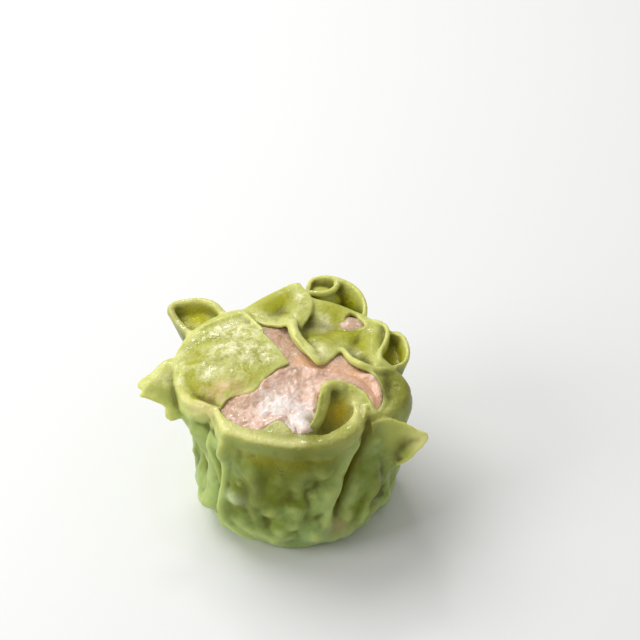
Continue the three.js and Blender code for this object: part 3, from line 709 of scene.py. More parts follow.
def main_place(u, v):
    """Where the sheet goes: base, side, crest and flap, one after the other along each line."""
    rim = rim_at(u)
    points = np.zeros((len(u), 3))
    # the base
    foot = leaned(rim[0], np.zeros_like(u))
    base = v <= BASE_SHARE
    points[base] = polar(foot, BASE_RADIUS * v / BASE_SHARE, DOUGH / 2)[base]
    # the side
    rise = np.clip((v - BASE_SHARE) / (SIDE_SHARE - BASE_SHARE), 0, 1) ** 1.15
    height = mix(DOUGH / 2, rim[2] - UNDER_CREST, rise)
    degrees, radius = side_point(rim, height)
    on_ridge = bell(turn(rim[0] - RIDGE_ANGLE) / RIDGE_WIDTH)
    radius = radius - RIDGE_LEAN * on_ridge * smooth(0.8, 1, rise)
    calm = smooth(0.5, 2.4, height) * (1 - 0.75 * smooth(0.93, 1, rise))
    side = (v > BASE_SHARE) & (v <= SIDE_SHARE)
    points[side] = polar(degrees, radius + fine_side_relief(degrees, height) * calm, height)[side]
    # the crest, a quarter of a turn, squarer where the dough is folded sharply
    turned = np.clip((v - SIDE_SHARE) / (CREST_SHARE - SIDE_SHARE), 0, 1) * math.pi / 2
    top_degrees, top_radius = side_point(rim, rim[2] - UNDER_CREST)
    top_radius = top_radius + 0.25 * fine_side_relief(top_degrees, rim[2] - UNDER_CREST)
    crisp = sum(bell(turn(rim[0] - angle) / wide) for angle, wide in LIP_FOLDS).clip(0, 1)
    power = mix(2, LIP_POWER, crisp)
    out, up = np.cos(turned) ** (2 / power), np.sin(turned) ** (2 / power)
    top_radius = top_radius - RIDGE_LEAN * on_ridge
    reach = CREST_IN * mix(1, RIDGE_REACH, on_ridge)
    rising = UNDER_CREST + 0.05
    arc = polar(rim[0], top_radius - reach * (1 - out), rim[2] - UNDER_CREST + rising * up)
    crest = (v > SIDE_SHARE) & (v <= CREST_SHARE)
    points[crest] = arc[crest]
    # the flap, from the crest to the free edge
    start = polar(rim[0], top_radius - reach, rim[2] - UNDER_CREST + rising)
    share = np.clip((v - CREST_SHARE) / (1 - CREST_SHARE), 0, 1) ** 0.9
    inward = np.stack([rim[3] - start[:, 0], rim[4] - start[:, 1]], axis=-1)
    flat = start[:, :2] + inward * share[:, None]
    low = lying(flat[:, 0], flat[:, 1]) + rim[5] * share**4
    laid = smooth(0.0, mix(ROLL_IN, LIP_IN, crisp), share * np.hypot(*inward.T))
    top = np.maximum(mix(start[:, 2] + ROLL * laid, low, laid), low)
    folded = v > CREST_SHARE
    points[folded] = np.column_stack([flat, top])[folded]
    return points


wrapper = shaped_grid("wrapper_dough", LINES, STOPS, main_place)
print("main sheet:", len(wrapper.data.polygons), "faces")

# %% [markdown]
# At the back right the dough doesn't quite close, and meat shows in a small gap. The faces there are
# deleted while the sheet is still thin, so the edge of the gap gets the same rounding as every free edge.

# %% The gap at the back right
GAP = {"place": (10.9, 12.2), "turned": 51, "radial": 1.2, "across": 1.7}
GAP_LOWEST = 25  # mm, so that nothing of the base is taken


def in_gap(points):
    """Whether points lie in the gap, an oval with a ragged edge."""
    x, y = points[:, 0] - GAP["place"][0], points[:, 1] - GAP["place"][1]
    c, s = math.cos(math.radians(GAP["turned"])), math.sin(math.radians(GAP["turned"]))
    away = np.hypot((x * c + y * s) / GAP["radial"], (y * c - x * s) / GAP["across"])
    around = np.arctan2(y, x)
    ragged = away + 0.16 * np.sin(3 * around) + 0.12 * np.sin(2 * around + 1)
    return (ragged < 1) & (points[:, 2] > GAP_LOWEST)


tidy_mesh(wrapper)
bpy.ops.object.mode_set(mode="EDIT")
bpy.ops.mesh.select_mode(type="VERT")
bpy.ops.mesh.select_all(action="DESELECT")
bpy.ops.object.mode_set(mode="OBJECT")
wrapper.data.vertices.foreach_set("select", in_gap(points_of(wrapper)))
bpy.ops.object.mode_set(mode="EDIT")
bpy.ops.mesh.delete(type="VERT")
bpy.ops.object.mode_set(mode="OBJECT")
print("main sheet with its gap:", len(wrapper.data.polygons), "faces")

# %% [markdown]
# Dough is stretched thin where it ends. Solidify gives the sheet its wall, and its vertex group lets the
# wall get thinner towards the free edge of the flaps and on the left lip.

# %% Thickness of the main sheet
TOP_FROM = 24  # mm, above which there are only flaps and crest
EDGE_POINTS = 1200
FREE_EDGE = rim_at(np.linspace(0, 1, EDGE_POINTS, endpoint=False))
edge_x, edge_y, edge_lift = FREE_EDGE[3:]
free_edge = np.column_stack([edge_x, edge_y, lying(edge_x, edge_y) + edge_lift])
THIN_EDGE = 0.62  # of the thickness of the dough
FLAPS_REACH = 18.5  # mm from the axis
LEFT_LIP = [
    (-19.6, -4.4, 26.2), (-18.4, -6.6, 26.6), (-16.8, -8.0, 26.8), (-14.9, -8.8, 27.0), (-12.3, -13.4, 27.2),
]
left_lip = curve_points(LEFT_LIP, 60)
sheet_points = points_of(wrapper)
from_axis = np.hypot(sheet_points[:, 0], sheet_points[:, 1])
on_flaps = np.flatnonzero((sheet_points[:, 2] > TOP_FROM) & (from_axis < FLAPS_REACH))
slim = np.ones(len(sheet_points))
slim[on_flaps] = mix(THIN_EDGE, 1, smooth(0, 2.6, near(sheet_points[on_flaps], free_edge, 3)))
slim_lip = mix(THIN_EDGE, 1, smooth(0.6, 2.2, near(sheet_points, left_lip, 3)))
slim = np.minimum(slim, slim_lip).round(2)
thicken(wrapper, DOUGH, slim)
print("main sheet with its thickness:", len(wrapper.data.polygons), "faces")

# %% [markdown]
# ## Loops
# Where a hand pinched the sheet, a pleat stands off the side and opens at the top into a loop. It could
# be extruded from the side, but a closed stack of rings that widen upwards keeps its own smooth outline,
# and a pocket is cut out of its top.

# %% Loops
LOOPS = [  # angle and height of the foot, height of the pocket's floor, and the rim's outline
    (137, 7.6, 27.2, [
        (127, 19.3, 28.8), (127, 22.4, 28.9), (130, 25.2, 28.9), (135, 27.2, 28.8),
        (140, 28.7, 28.6), (144, 28.2, 28.4), (148, 25.0, 28.2), (152, 21.2, 28.0),
    ]),
    (66, 6.4, 25.4, [
        (45, 18.7, 28.5), (52, 21.9, 29.1), (57, 23.3, 29.7), (63, 24.4, 30.1),
        (70, 24.8, 30.4), (78, 24.6, 30.4), (83, 23.3, 30.2), (84, 18.9, 30.0),
    ]),
    (18, 8.2, 26.5, [
        (2, 17.3, 27.9), (5, 20.0, 28.1), (12, 21.2, 28.4),
        (19, 21.7, 28.6), (27, 21.5, 28.7), (34, 18.7, 28.8),
    ]),
]
PINCHED = 0.3  # of its width is left at a loop's foot
LEAN_OUT = 1.6  # how late it leaves the wall
RIM_STEPS = 70
BACK_STEPS = 17  # across the wall that it grows out of
OVER = 1.5  # how far the cutter of the pocket goes past it
LOOP_EDGES = [1.35, 0.85, 0.8]  # how thick each loop's edge is
LOOP_RINGS = 60
POCKET_RINGS = 26


def loop_ring(loop, outline, share, inset):
    """One closed ring of a loop at a share of its height, narrower by inset."""
    foot_angle, foot_height = loop[:2]
    over = OVER if inset > 0 and share >= 1 else 0
    spread = mix(PINCHED, 1, share**0.8)
    degrees = mix(foot_angle, outline[:, 0], spread)
    height = mix(foot_height, outline[:, 2], share)
    radius = mix(wall_radius(degrees, height), outline[:, 1], share**LEAN_OUT)
    points = polar(degrees, radius, height + over)
    along = np.roll(points, 1, 0) - np.roll(points, -1, 0)
    along[0] = points[0] - points[1]
    along[-1] = points[-2] - points[-1]
    inwards = np.column_stack([along[:, 1], -along[:, 0]])
    points[:, :2] += inset * inwards / np.linalg.norm(inwards, axis=1)[:, None]
    back = np.arange(1, BACK_STEPS + 1) / (BACK_STEPS + 1)
    back_degrees = mix(degrees[-1], degrees[0], back)
    back_height = mix(points[-1, 2], points[0, 2], back)
    back_radius = wall_radius(back_degrees, back_height) - DOUGH / 4 - (OVER if inset > 0 else 0)
    return np.vstack([points, polar(back_degrees, back_radius, back_height)])


def make_loop(number, loop):
    """A loop with its pocket cut out, and the outline of its rim."""
    outline = curve_points(loop[3], RIM_STEPS)
    around = RIM_STEPS + 1 + BACK_STEPS
    fold_rings = [loop_ring(loop, outline, share, 0) for share in np.linspace(0, 1, LOOP_RINGS)]
    fold = shaped_rings(f"loop_{number}", around, fold_rings)
    floor_share = (loop[2] - loop[1]) / (max(place[2] for place in loop[3]) - loop[1])
    shares = mix(floor_share, 1, np.linspace(0, 1, POCKET_RINGS) ** 0.8)
    pocket_rings = [loop_ring(loop, outline, share, LOOP_EDGES[number]) for share in shares]
    cut(fold, shaped_rings("pocket", around, pocket_rings))
    return fold, outline


loops = []
rim_lines = []
for number, loop in enumerate(LOOPS):
    made, outline = make_loop(number, loop)
    loops.append(made)
    middle_of_edge = loop_ring(loop, outline, 0.999, 0.53 * LOOP_EDGES[number])
    rim_lines.append(middle_of_edge[:RIM_STEPS + 1])
print("loops:", [len(piece.data.polygons) for piece in loops], "faces")

# %% [markdown]
# The loop at the back is folded once more: a small tongue of dough fills its left end, and its edge curls
# round a shallow dent. A squashed sphere makes the tongue, and the curled edge comes with the other rolled
# edges below.

# %% Tongue in the back loop
def blob(name, middle, size, turned=0.0):
    """A squashed sphere with its middle and half sizes in mm."""
    bpy.ops.object.select_all(action="DESELECT")
    bpy.ops.mesh.primitive_uv_sphere_add(segments=48, ring_count=32, radius=1)
    piece = bpy.context.object
    piece.name = name
    c, s = math.cos(math.radians(turned)), math.sin(math.radians(turned))
    ball = points_of(piece) * MM * np.array(size)
    put_points(piece, ball @ np.array([[c, s, 0], [-s, c, 0], [0, 0, 1]]) + np.array(middle))
    return piece


tongue = blob("tongue", (5.2, 21.0, 26.8), (3.6, 2.6, 2.75), -8)
print("tongue:", len(tongue.data.polygons), "faces")

# %% [markdown]
# ## Corners
# Two corners of the square sheet stand off the side: a long point at the right and a short one with two
# small points at the left. They could be pulled out of the side, but then they would be as thick as the
# pull. So each is a grid laid through a few rails, bent a little, with its own thickness.

# %% Corners
CORNER_EDGE = 0.65  # of the thickness of the dough
LONG_CORNER = [  # angle, radius and height, from where it grows out of the side to its free edge
    [(318, 17.9, 26.2), (318, 18.3, 19.8), (318, 18.0, 13.5), (318, 17.4, 8.1)],
    [(324, 18.9, 26.5), (324, 19.7, 20.3), (323, 19.0, 14.4), (322, 18.0, 8.6)],
    [(329, 21.4, 25.7), (330, 22.0, 21.2), (328, 21.4, 17.9), (329, 18.8, 12.3)],
    [(331, 23.6, 24.9), (333, 26.3, 23.2), (331, 26.0, 21.9), (327, 24.4, 19.3), (325, 22.4, 17.6)],
]
SHORT_CORNER = [
    [(162, 19.6, 27.0), (171, 19.4, 26.4), (183, 18.8, 24.6), (197, 17.9, 21.2)],
    [(165, 21.7, 26.9), (172, 22.9, 26.1), (183, 21.8, 24.2), (194, 19.3, 21.6)],
    [
        (168.5, 22.6, 26.8), (173, 24.8, 26.0), (179.2, 27.7, 24.7), (183.7, 26.6, 24.3), (184.4, 27.3, 24.0),
        (185.6, 25.4, 23.4), (187.4, 23.1, 22.3), (190.8, 23.2, 21.5), (193, 22.4, 21.0),
    ],
]


def make_corner(name, rails, along, across, uneven=1.0):
    """A sheet through the rails, with its thickness, and the line of its free edge."""
    rows = [curve_points(rail, along) for rail in rails]
    lofted = np.array([curve_points([row[k] for row in rows], across) for k in range(along + 1)])

    def place(u, v):
        i, j = np.rint(u * along).astype(int), np.rint(v * across).astype(int)
        points = lofted[i, j]
        points[:, 2] += uneven * v * (0.3 * grain(points, 2.6, 31) + 0.14 * grain(points, 1.2, 32))
        return points

    piece = shaped_grid(name, along, across, place)
    v = np.tile(np.arange(across + 1) / across, (along + 1, 1)).T.ravel()
    thicken(piece, DOUGH, mix(1, CORNER_EDGE, smooth(0.55, 1, v)).round(2))
    return piece, lofted[:, -1]


long_rails = [round_the_axis(rail) for rail in LONG_CORNER]
short_rails = [round_the_axis(rail) for rail in SHORT_CORNER]
long_corner, long_edge = make_corner("long_corner", long_rails, 110, 90)
short_corner, short_edge = make_corner("short_corner", short_rails, 110, 60, 2.2)
print("corners:", [len(piece.data.polygons) for piece in (long_corner, short_corner)], "faces")

# %% [markdown]
# ## The overlap and the fin
# At the back one flap lies over its neighbour, and its free edge swings out in an S. At the right the dough
# is pinched into a thin fin between two hollows. Both are sheets through a few rails like the corners.

# %% Overlap and fin
OVERLAP = [  # x, y and height, from where it grows out of the sheet to its free edge
    [(-4.6, 18.9, 29.2), (-4.0, 16.2, 28.4), (-3.4, 13.8, 28.2), (-2.6, 11.8, 28.2)],
    [(-1.8, 20.3, 30.4), (-1.3, 17.4, 29.6), (-1.2, 14.4, 29.2), (-1.0, 11.7, 28.9)],
    [(0.4, 20.8, 31.0), (1.0, 17.9, 30.6), (1.0, 14.3, 30.1), (0.4, 11.0, 29.5)],
    [(1.2, 20.9, 31.0), (3.5, 17.0, 30.6), (3.2, 13.5, 30.0), (1.6, 10.4, 29.3)],
]
FIN = [
    [(16.2, 10.6, 26.2), (16.6, 8.8, 26.1), (16.0, 6.2, 26.0), (15.2, 3.8, 25.8), (15.0, 1.2, 26.0)],
    [(16.3, 10.8, 28.4), (16.8, 9.0, 28.4), (16.3, 6.3, 28.3), (15.4, 3.9, 28.1), (15.1, 1.2, 27.8)],
    [(16.3, 10.9, 29.2), (16.9, 9.1, 29.2), (16.4, 6.4, 29.1), (15.5, 4.0, 28.9), (15.4, 1.0, 28.4)],
]
overlap, overlap_edge = make_corner("overlap", OVERLAP, 90, 50, 0.3)
fin, fin_edge = make_corner("fin", FIN, 80, 40, 0.4)
print("overlap and fin:", [len(piece.data.polygons) for piece in (overlap, fin)], "faces")

# %% [markdown]
# ## Rolled edges
# Where the sheet was cut or folded, its edge is rolled: pale, round and a little thicker. A bevel would
# round it to the same width all along. So each roll is a tapering tube that follows the sheet, a share of
# a millimetre above its middle, and the skin will close over it.

# %% Rolls
top_sheet = sheet_points[sheet_points[:, 2] > TOP_FROM]
top_tree = KDTree(len(top_sheet))
for number, place in enumerate(top_sheet):
    top_tree.insert((place[0], place[1], 0), number)
top_tree.balance()


def on_sheet(x, y):
    """Height of the middle of the sheet at a place of the top."""
    return top_sheet[top_tree.find((x, y, 0))[1], 2]


def roll(name, path, radius, steps=60, around=16):
    """A tube along a path in mm, with round ends."""
    line = curve_points(path, steps)
    ahead = np.gradient(line, axis=0)
    ahead /= np.linalg.norm(ahead, axis=1)[:, None]
    aside = np.cross(ahead, (0, 0, 1))
    aside /= np.linalg.norm(aside, axis=1)[:, None]
    above = np.cross(aside, ahead)
    share = np.linspace(0, 1, steps + 1)
    taper = radius * np.sqrt(1 - np.clip(np.abs(share - 0.5) * 2.04 - 0.04, 0, 0.985) ** 6)
    angle = np.arange(around) / around * 2 * math.pi
    rings = [
        place + r * (np.cos(angle)[:, None] * a + np.sin(angle)[:, None] * b)
        for place, a, b, r in zip(line, aside, above, taper)
    ]
    return shaped_rings(name, around, rings)


ROLLS = [  # radius, how far above the sheet, and the places x, y
    # the panel's left edge
    (1.0, 0.35, [(0.3, 11.9), (-0.1, 9.0), (0.7, 5.9), (2.2, 3.5), (3.9, 1.5)]),
    # the spoon's edge
    (1.0, 0.4, [(3.2, -14.6), (4.5, -11.2), (5.4, -8.2), (5.8, -6.4), (7.2, -5.7), (9.0, -5.9)]),
    # the right flap's front edge and right edge
    (0.65, 0.6, [(8.6, 5.0), (10.1, 1.8), (11.9, -0.4), (14.2, -0.8), (16.4, -0.2), (18.2, -0.2)]),
    (0.45, 0.1, [(15.0, -2.6), (15.6, -5.0), (16.0, -8.0), (15.6, -10.6)]),
    # the left lip
    (0.4, 0.15, [(-19.6, -4.4), (-18.4, -6.6), (-16.8, -8.0), (-14.9, -8.8), (-13.4, -10.9), (-12.3, -13.4)]),
    # the left flap's upper edge
    (0.42, 0.4, [(-19.4, 9.4), (-16.6, 11.2), (-13.1, 13.1), (-9.4, 14.7)]),
    # the ridge in the spoon, and its far edge
    (0.6, 0.2, [(6.0, -15.4), (8.4, -13.4), (10.2, -11.8), (11.0, -9.6), (10.4, -7.4)]),
    (0.55, 0.35, [(6.6, -17.4), (9.4, -15.4), (11.7, -12.6), (12.5, -10.2), (12.3, -8.4)]),
    # the left flap's corner
    (0.4, 0.45, [(-10.6, 15.4), (-8.9, 14.6), (-7.7, 12.6), (-6.5, 10.6), (-5.2, 8.6)]),
]
ROLL_POINTS = 60
LOOP_ROLL = 0.6  # radius, as a share of a loop's edge
LOOP_ROLL_BELOW = 0.15  # mm under the rim
TONGUE_EDGE = [(2.9, 19.8, 29.9), (4.6, 19.5, 29.8), (6.7, 20.0, 29.7), (7.9, 21.4, 29.8), (8.0, 22.8, 30.1)]
FIN_EDGE = [
    (12.2, 12.4, 29.1), (14.6, 12.1, 29.3), (16.3, 10.9, 29.4), (16.9, 9.2, 29.3),
    (16.4, 6.4, 29.2), (15.5, 4.0, 29.0), (15.4, 1.2, 28.5),
]
rolls = []
roll_lines = []
for number, (radius, above, places) in enumerate(ROLLS):
    path = [(x, y, on_sheet(x, y) + above) for x, y in places]
    rolls.append(roll(f"roll_{number}", path, radius))
    roll_lines.append(curve_points(path, ROLL_POINTS))
for number, line in enumerate(rim_lines):
    path = line[4:-4:9] - (0, 0, LOOP_ROLL_BELOW)
    rolls.append(roll(f"loop_edge_{number}", path, LOOP_ROLL * LOOP_EDGES[number]))
for name, path, radius in (("tongue_edge", TONGUE_EDGE, 0.6), ("fin_edge", FIN_EDGE, 0.45)):
    rolls.append(roll(name, path, radius))
    roll_lines.append(curve_points(path, ROLL_POINTS))
print(len(rolls), "rolls")

# %% [markdown]
# ## One piece of dough
# The sheet, loops, tongue and corners are joined and remeshed into one skin, so that they grow out of each
# other as dough does. A few smoothing passes take away the voxels. What faces the filling is never seen, so
# a Decimate modifier thins it out there first, and only a little where it shows, so that the faces go where
# they are seen.

# %% Join and remesh
VOXEL = 0.27  # mm
SMOOTHING = 0.5  # of the way to its neighbours' middle, for each point in each pass


def fuse(first, others, passes):
    """Join pieces into the first, close one skin over them and smooth it."""
    alone(first)
    for piece in others:
        piece.select_set(True)
    bpy.ops.object.join()
    skin = first.modifiers.new("skin", "REMESH")
    skin.mode = "VOXEL"
    skin.voxel_size = VOXEL * MM
    bpy.ops.object.modifier_apply(modifier="skin")
    calm = first.modifiers.new("calm", "SMOOTH")
    calm.factor = SMOOTHING
    calm.iterations = passes
    bpy.ops.object.modifier_apply(modifier="calm")


def thin_out(piece, hidden, faces, shown_share=0.0):
    """Thin out a piece to so many triangles, first where it is hidden, then a little where it shows."""
    alone(piece)
    group = piece.vertex_groups.new(name="hidden")
    if shown_share:
        group.add(list(range(len(hidden))), shown_share, "REPLACE")
    group.add(np.flatnonzero(hidden).tolist(), 1.0, "REPLACE")
    triangles = sum(len(face.vertices) - 2 for face in piece.data.polygons)
    fewer = piece.modifiers.new("fewer", "DECIMATE")
    fewer.ratio = min(1.0, faces / triangles)
    fewer.vertex_group = "hidden"
    bpy.ops.object.modifier_apply(modifier="fewer")
    return triangles


WRAPPER_PASSES = 3
WRAPPER_TRIANGLES = 195000
SHOWN_SHARE = 0.02  # how readily the faces that show are thinned out
fuse(wrapper, [*loops, tongue, long_corner, short_corner, overlap, fin, *rolls], WRAPPER_PASSES)
skin_points = points_of(wrapper)
skin_x, skin_y, skin_z = skin_points.T
away = np.hypot(skin_x, skin_y)
angles = angle_of(skin_x, skin_y)
middle_of_dough = wall_radius(angles, skin_z) + fine_side_relief(angles, skin_z)
# the inner face of the side, the underside of the flaps behind their edges, and the underside of the base
inside_side = (away < middle_of_dough - 0.2) & (skin_z < 24.5) & (skin_z > 0.6)
under_flap = (skin_z < lying(skin_x, skin_y) - 0.1) & (away < 17) & (skin_z > TOP_FROM)
on_edge = near(skin_points, free_edge, 2.0) < 1.4
under_base = skin_z < 0.25
hidden = inside_side | (under_flap & ~on_edge) | under_base
before = thin_out(wrapper, hidden, WRAPPER_TRIANGLES, SHOWN_SHARE)
print("wrapper:", before, "triangles, then", sum(len(face.vertices) - 2 for face in wrapper.data.polygons))

# %% [markdown]
# ## The skin of the dough
# Steamed dough is never smooth: it has blisters, tiny pits and fine wrinkles. A bump in the material
# could fake them, but they also show at the outline. So they are real relief here, laid along the normals
# with seeded noise, stronger on the wet flaps than on the side.

# %% Fine relief
def normals_of(piece):
    """The direction that each point faces."""
    flat = np.empty(len(piece.data.vertices) * 3, np.float32)
    piece.data.vertex_normals.foreach_get("vector", flat)
    return flat.reshape(-1, 3).astype(float)


skin_points = points_of(wrapper)
skin_x, skin_y, skin_z = skin_points.T
outwards = normals_of(wrapper)
on_top = smooth(24.5, 27.0, skin_z) * smooth(0.1, 0.6, outwards[:, 2])
fine = 0.04 * grain(skin_points, 1.0, 41) + 0.03 * grain(skin_points, 0.55, 42)
blisters = 0.07 * smooth(0.25, 0.8, grain(skin_points, 0.75, 43))
blisters = blisters - 0.09 * smooth(0.45, 0.85, grain(skin_points, 0.6, 44))
wet_zone = smooth(-0.15, 0.35, grain(skin_points, 5.0, 45))
relief = fine * mix(0.6, 1.1, on_top) + blisters * mix(0.35, 1.0, on_top) * mix(0.3, 1.0, wet_zone)
relief *= 1 - 0.7 * taut(skin_x, skin_y)
crumbly = bell(np.hypot((skin_x + 12.6) / 4.0, (skin_y + 6.6) / 2.4)) * on_top  # the left lip
relief += 0.16 * grain(skin_points, 0.95, 46) * crumbly
skin_points += outwards * relief[:, None]
skin_points[:, 2] = np.maximum(skin_points[:, 2], 0)
put_points(wrapper, skin_points)
alone(wrapper)
bpy.ops.object.shade_smooth()
print("relief from", relief.min().round(2), "to", relief.max().round(2), "mm")

# %% [markdown]
# ## What the colours need to know
# Thin and raised dough is pale, pockets are painted a glowing mustard, folds and creases get painted shade,
# the flaps get painted sheen and highlights, and meat shines through the thin left flap. It could be painted
# with a brush, but each of these follows from the shape, so it is worked out for every point and kept as an
# attribute that the material reads.

# %% Tools for paint
def bulge(piece, points, normals, passes):
    """How far each point stands out from its smoothed surroundings, in mm."""
    edges = np.empty(len(piece.data.edges) * 2, np.int32)
    piece.data.edges.foreach_get("vertices", edges)
    a, b = edges.reshape(-1, 2).T
    count = np.bincount(a, minlength=len(points)) + np.bincount(b, minlength=len(points))
    calm = points.copy()
    for _ in range(passes):
        sums = [
            np.bincount(a, calm[b, k], len(points)) + np.bincount(b, calm[a, k], len(points))
            for k in range(3)
        ]
        calm = np.stack(sums, axis=1) / count[:, None]
    return ((points - calm) * normals).sum(axis=1)


def paint(piece, name, values):
    """Keep a number from 0 to 1 for each point as an attribute."""
    attribute = piece.data.attributes.new(name, "FLOAT", "POINT")
    attribute.data.foreach_set("value", np.clip(values, 0, 1).astype(np.float32))


def spot(points, place, size, squash=(1, 1, 1)):
    """1 at a place, down to 0 away from it, wider along an axis where squash says so."""
    return bell(np.linalg.norm((points - place) / squash, axis=1) / size)


print("tools for paint are ready")

# %% [markdown]
# Free edges and the crest are stretched thin and pale, and small raised wrinkles are paler too. Soft,
# speckled patches of painted sheen lie on the wet flaps, and the parts that are pulled taut keep one even
# green.

# %% Pale edges, painted sheen and taut dough
PAINTED_SHEEN = [  # x, y and half sizes of the patches of painted sheen on the wet flaps
    (-7.8, 10.2, 6.6, 4.2),
    (-5.2, 3.2, 5.4, 3.6),
    (-11.6, 4.6, 4.0, 2.8),
    (-14.6, -0.8, 2.2, 1.6),
    (5.0, 12.2, 1.8, 2.2),
    (4.3, 3.0, 1.8, 3.0),
    (10.0, 3.2, 1.6, 3.0),
    (1.9, 17.6, 1.5, 3.4),
    (0.0, 10.4, 1.1, 3.0),
    (9.6, -12.2, 2.4, 1.6),
    (11.2, -9.6, 1.2, 2.2),
    (-22.5, 0.5, 2.5, 2.0),
    (-20.4, 1.5, 1.2, 5.0),
    (-16.6, -7.9, 2.6, 0.9),
]
VALLEY = [(-18.9, -2.0, 26), (-16.9, -5.0, 26), (-14.3, -6.5, 26), (-12.2, -8.8, 26)]  # behind the left lip
LEFT_EAR = (-24, 1, 25)  # the tip of the short corner
WRINKLE_PASSES = 12
FOLD_PASSES = 110
skin_points = points_of(wrapper)
skin_x, skin_y, skin_z = skin_points.T
outwards = normals_of(wrapper)
away = np.hypot(skin_x, skin_y)
angles = angle_of(skin_x, skin_y)
small = bulge(wrapper, skin_points, outwards, WRINKLE_PASSES)
large = bulge(wrapper, skin_points, outwards, FOLD_PASSES)
faces_up = smooth(0.2, 0.8, outwards[:, 2])
edge_lines = np.vstack([free_edge, long_edge, short_edge, overlap_edge, fin_edge, *rim_lines, *roll_lines])
to_edge = near(skin_points, edge_lines, 4.0)
crest_radius, crest_height = rim_for(angles)[1:3]
to_crest = np.hypot(away - crest_radius, skin_z - crest_height)
# painted light: the front crest is paler where it faces up
lit_front_crest = bell(to_crest / 3.2) * bell(turn(angles - 246) / 30) * faces_up
crest_pale = bell(to_crest / 2) * 0.25 + lit_front_crest
# painted light: the tip of the short corner is painted pale, where light comes through the dough
ear = spot(skin_points, LEFT_EAR, 4, (1.2, 1.2, 1))
pale = bell(to_edge / 1.7) * 0.8 + smooth(0.02, 0.22, small) * 0.4 + crest_pale * 0.9 + ear * 0.6
paint(wrapper, "pale", pale)
# painted sheen: soft patches on the flaps where the colour is paler, standing in for a reflection
sheen = np.zeros(len(skin_points))
for x, y, wide, deep in PAINTED_SHEEN:
    zone = bell(np.hypot((skin_x - x) / wide, (skin_y - y) / deep) ** 1.5)
    sheen = np.maximum(sheen, zone * (skin_z > 25))
paint(wrapper, "sheen", sheen)
paint(wrapper, "low", smooth(11, 2, skin_z))
paint(wrapper, "swollen", smooth(0.05, 0.5, large))
valley = curve_points(VALLEY, 60)
in_valley = bell(near(skin_points, valley, 4.0) / 1.8)
# painted shade: the valley behind the left lip gets the even, darker taut green
paint(wrapper, "taut", np.maximum(taut(skin_x, skin_y), in_valley) * smooth(25, 26, skin_z))
paint(wrapper, "top", smooth(24.0, 26.6, skin_z) * smooth(-0.1, 0.5, outwards[:, 2]))
print("the large form stands out by up to", large.max().round(2), "mm")

# %% [markdown]
# Light that gets into a loop or the spoon has gone through the dough, so their insides are painted a glowing
# mustard. Only what faces a loop's middle is painted, so its outer wall stays pale. Narrow folds and hollows
# get painted shade.

# %% Pockets, spoon and folds
POCKET_SHARES = (1.0, 0.45, 0.8)  # one for each loop
POCKET_HEIGHT = 28.0
SPOON = (7.2, -8.2, 25.5)
LONG_EAR = (19.0, -11.5, 23.0)  # the middle of the long corner
pocket = np.zeros(len(skin_points))
for loop, share in zip(LOOPS, POCKET_SHARES):
    outline = np.array(loop[3])
    middle = polar(outline[:, 0].mean(), outline[:, 1].mean() - 0.8, POCKET_HEIGHT)
    inwards = middle - skin_points
    reach = np.linalg.norm(inwards, axis=1)
    faces_in = smooth(-0.1, 0.4, (inwards * outwards).sum(axis=1) / reach)
    pocket = np.maximum(pocket, spot(skin_points, middle, 4.0, (1, 1, 1.4)) * faces_in * share)
paint(wrapper, "pocket", pocket * smooth(29.8, 28.2, skin_z) * (1 - bell(to_edge / 1.1)))
# painted shade: folds and hollows that sink in are darker
deep = smooth(0.06, 0.6, -large) * 0.8 + smooth(0.03, 0.2, -small) * 0.45
paint(wrapper, "deep", deep * (1 - 0.75 * pocket))
paint(wrapper, "spoon", spot(skin_points, SPOON, 3.4) * smooth(29.0, 26.8, skin_z))
long_ear = spot(skin_points, LONG_EAR, 4.2, (1.3, 1, 1.1))
paint(wrapper, "ear", long_ear * smooth(18.8, 20.5, away))
print("pockets reach", pocket.max().round(2), "and folds", deep.max().round(2))

# %% [markdown]
# The side isn't one green either. It gets painted shade under the front lip, in the great crease, at the back
# left and on the right wall and foot, and painted light on the folds and lobes that stand out into the light.

# %% Shade and light on the side
GREAT_CREASE = [(318, 17.5, 27), (313, 17, 22.5), (305, 16.6, 18.6), (300, 16.6, 14), (295, 16.8, 11)]
CREASE_LIP = [(307, 19, 23), (300, 19, 20), (294, 19, 15.6), (289, 19, 11)]
FRONT_PLEAT = [(230.5, 18.8, 24.5), (229, 19.4, 19), (228.5, 19.6, 14), (230, 19.4, 9)]


def beside(places, steps, reach, width):
    """1 on a line through places of the side, given by angle, radius and height, down to 0 away from it."""
    return bell(near(skin_points, curve_points(round_the_axis(places), steps), reach) / width)


# painted shade along the great crease
paint(wrapper, "crease", beside(GREAT_CREASE, 60, 4.0, 1.7))
# painted shade: under the front lip, on the left belly, on the outer wall at the back left, on the right wall
# and at the right foot
under_front_lip = smooth(12, 20, skin_z) * bell(turn(angles - 274) / 31)
left_belly = bell(turn(angles - 247) / 9) * bell((skin_z - 14) / 5)
back_left = bell(turn(angles - 148) / 9) * smooth(21.5, 22.5, away)
right_wall = bell(turn(angles - 348) / 16) * smooth(18, 23, skin_z) * smooth(15, 17, away)
right_foot = 1.5 * bell(turn(angles - 319) / 8) * bell((skin_z - 11.6) / 4)
paint(wrapper, "painted_shade", under_front_lip + left_belly * 1.4 + right_wall * 1.3 + right_foot + back_left)
